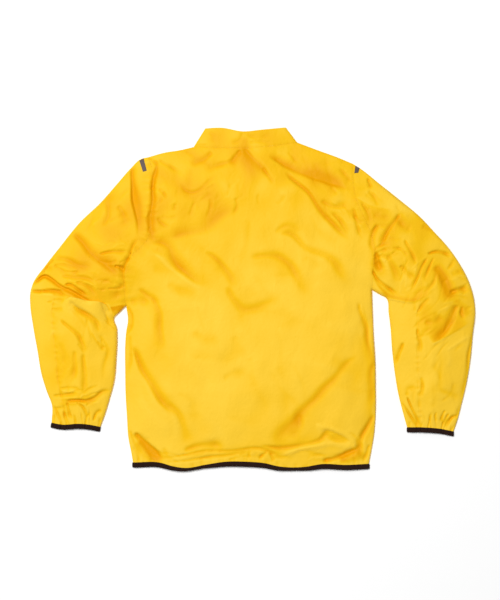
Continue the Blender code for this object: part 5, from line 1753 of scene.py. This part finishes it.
# %% Slider
BEVEL, BEVEL_STEPS = 0.22, 3
PLATE, INNER_PLATE_LOW = 1.1, 2.9
SUNK, FLANGE_HIGH = 0.5, 0.6  # how far parts sink into each other, and the flanges' height
PLATE_OUTLINE = [
    (-3.9, 4.6), (-3.3, 7.0), (3.3, 7.0), (3.9, 4.6),
    (3.9, -1.5), (2.9, -6.0), (-2.9, -6.0), (-3.9, -1.5),
]
NECK_OUTLINE = [(-2.3, 6.8), (2.3, 6.8), (1.7, 5.2), (0.5, 4.0), (-0.5, 4.0), (-1.7, 5.2)]
FLANGE_OUTLINE = [(3.2, 3.6), (3.85, 3.6), (3.85, -1.4), (3.0, -5.4), (2.4, -5.4), (3.2, -1.4)]
OTHER_FLANGE = [(-x, y) for x, y in FLANGE_OUTLINE[::-1]]
BRIDGE_PROFILE = [  # along the zip, height; outer arch, then inner arch
    (-4.0, -0.6), (-4.0, -3.2), (-3.1, -4.1), (3.1, -4.1), (4.0, -3.2), (4.0, -0.6),
    (3.1, -0.6), (3.1, -2.8), (2.7, -3.2), (-2.7, -3.2), (-3.1, -2.8), (-3.1, -0.6),
]
BRIDGE_HALF = 0.8
SLIDER_MIDDLE = np.array([zip_x(SLIDER_Y), SLIDER_Y, PLATEAU])


def solid_piece(name, parts, body, replaces, middle):
    """Several closed parts as one bevelled and painted piece, with its place in its mesh."""
    points, faces = [], []
    for part_points, part_faces in parts:
        faces += [[len(points) + i for i in face] for face in part_faces]
        points += part_points
    mesh = bpy.data.meshes.new(name)
    mesh.from_pydata(in_frame(np.array(points) + middle).tolist(), [], faces)
    shape = bmesh.new()
    shape.from_mesh(mesh)
    bmesh.ops.recalc_face_normals(shape, faces=shape.faces)
    shape.to_mesh(mesh)
    shape.free()
    mesh.materials.append(PAINTED)
    mesh.shade_smooth()
    made = link_object(name, mesh)
    bevel = made.modifiers.new("edges", "BEVEL")
    bevel.width = BEVEL * MM
    bevel.segments = BEVEL_STEPS
    bevel.limit_method = "ANGLE"
    bevel.harden_normals = True
    print(name, len(faces), "faces before the bevel")
    return hand_over(made, body, replaces)


slider_parts = [
    prism(PLATE_OUTLINE, -PLATE, 0),
    prism(PLATE_OUTLINE, INNER_PLATE_LOW, INNER_PLATE_LOW + PLATE),
    prism(NECK_OUTLINE, -SUNK, INNER_PLATE_LOW + SUNK),
    prism(FLANGE_OUTLINE, -SUNK, FLANGE_HIGH),
    prism(OTHER_FLANGE, -SUNK, FLANGE_HIGH),
    prism(BRIDGE_PROFILE, -BRIDGE_HALF, BRIDGE_HALF, stand=True),
]
slider = solid_piece("slider_body", slider_parts, "jacket", "zip_slider", SLIDER_MIDDLE)

# %% Pull
PULL_AXIS = np.array([0.0, -1.2, -2.2])
PULL_HALF = 0.6
PULL_BOX, PULL_CORNER = (-3.0, -22.0, 3.0, 0.6), 1.5
EYE_BOX, EYE_CORNER = (-1.4, -6.2, 1.4, -0.6), 0.6

pull_loops = rounded_box(PULL_BOX, PULL_CORNER), rounded_box(EYE_BOX, EYE_CORNER)
pull_parts = [ring_prism(*pull_loops, -PULL_HALF, PULL_HALF)]
solid_piece("pull_plate", pull_parts, "pull_tab", "zip_pull", SLIDER_MIDDLE + PULL_AXIS)

# %% [markdown]
# ## Stitches
#
# Each seam has its line of stitches, on the outer face and a little beside the seam. Dark thread
# holds the bindings and the tabs, yellow thread everything else.

# %% Make the stitches
STITCH = (3.1, 2.3, 0.42, 0.26)
SEAM_ALLOWANCE, SEAM_STEP, ZIP_STEP, ZIP_ENDS = 1.9, 2.5, 3.0, 4


def stitch_path(line, hand, tree, layer, first=0.01, last=0.99):
    """A line of stitches beside a seam: hand tells on which side of its direction."""
    line = along(line, np.linspace(first, last, int(long(line) / SEAM_STEP)))
    beside = inset_curve(line, SEAM_ALLOWANCE, hand)
    return seat(tree, lay_line(layer, beside), STITCH_LIFT)


def zip_stitches(hand):
    y = np.arange(ZIP_Y_HEM + ZIP_ENDS, ZIP_Y_TOP - ZIP_ENDS, ZIP_STEP)
    plan = np.stack([zip_x(y) + hand * (FRONT_EDGE + SEAM_ALLOWANCE), y], axis=-1)
    return seat(UNDER, lay_line(lay_under, plan), STITCH_LIFT)


thread_paths = [zip_stitches(-1), zip_stitches(1)]
thread_paths.append(stitch_path(CURVES["neck_back"], -1, OVER, lay_top))
for side, hand in HANDS.items():
    armhole, neck = CURVES["armhole_" + side], neck_front_half("neck_front", side)
    thread_paths += [
        stitch_path(armhole, hand, OVER, lay_top),
        stitch_path(armhole, hand, UNDER, lay_under, 0.04, 0.94),
        stitch_path(SEAM_LINES[side], hand, OVER, lay_top, 0.03, 0.985),
        stitch_path(neck, hand, UNDER, lay_under, 0.04, 0.98),
    ]
stitches = set_out("seam_stitches", thread_paths, THREAD, STITCH)
dark_stitches = set_out("binding_stitches", dark_paths, DARK_THREAD, STITCH)

# %% [markdown]
# ## The end
#
# Each panel is a sheet of cloth that lies flat. The script ends by bringing the view layer up to
# date with every piece made above.


# %% Update the view layer
bpy.context.view_layer.update()
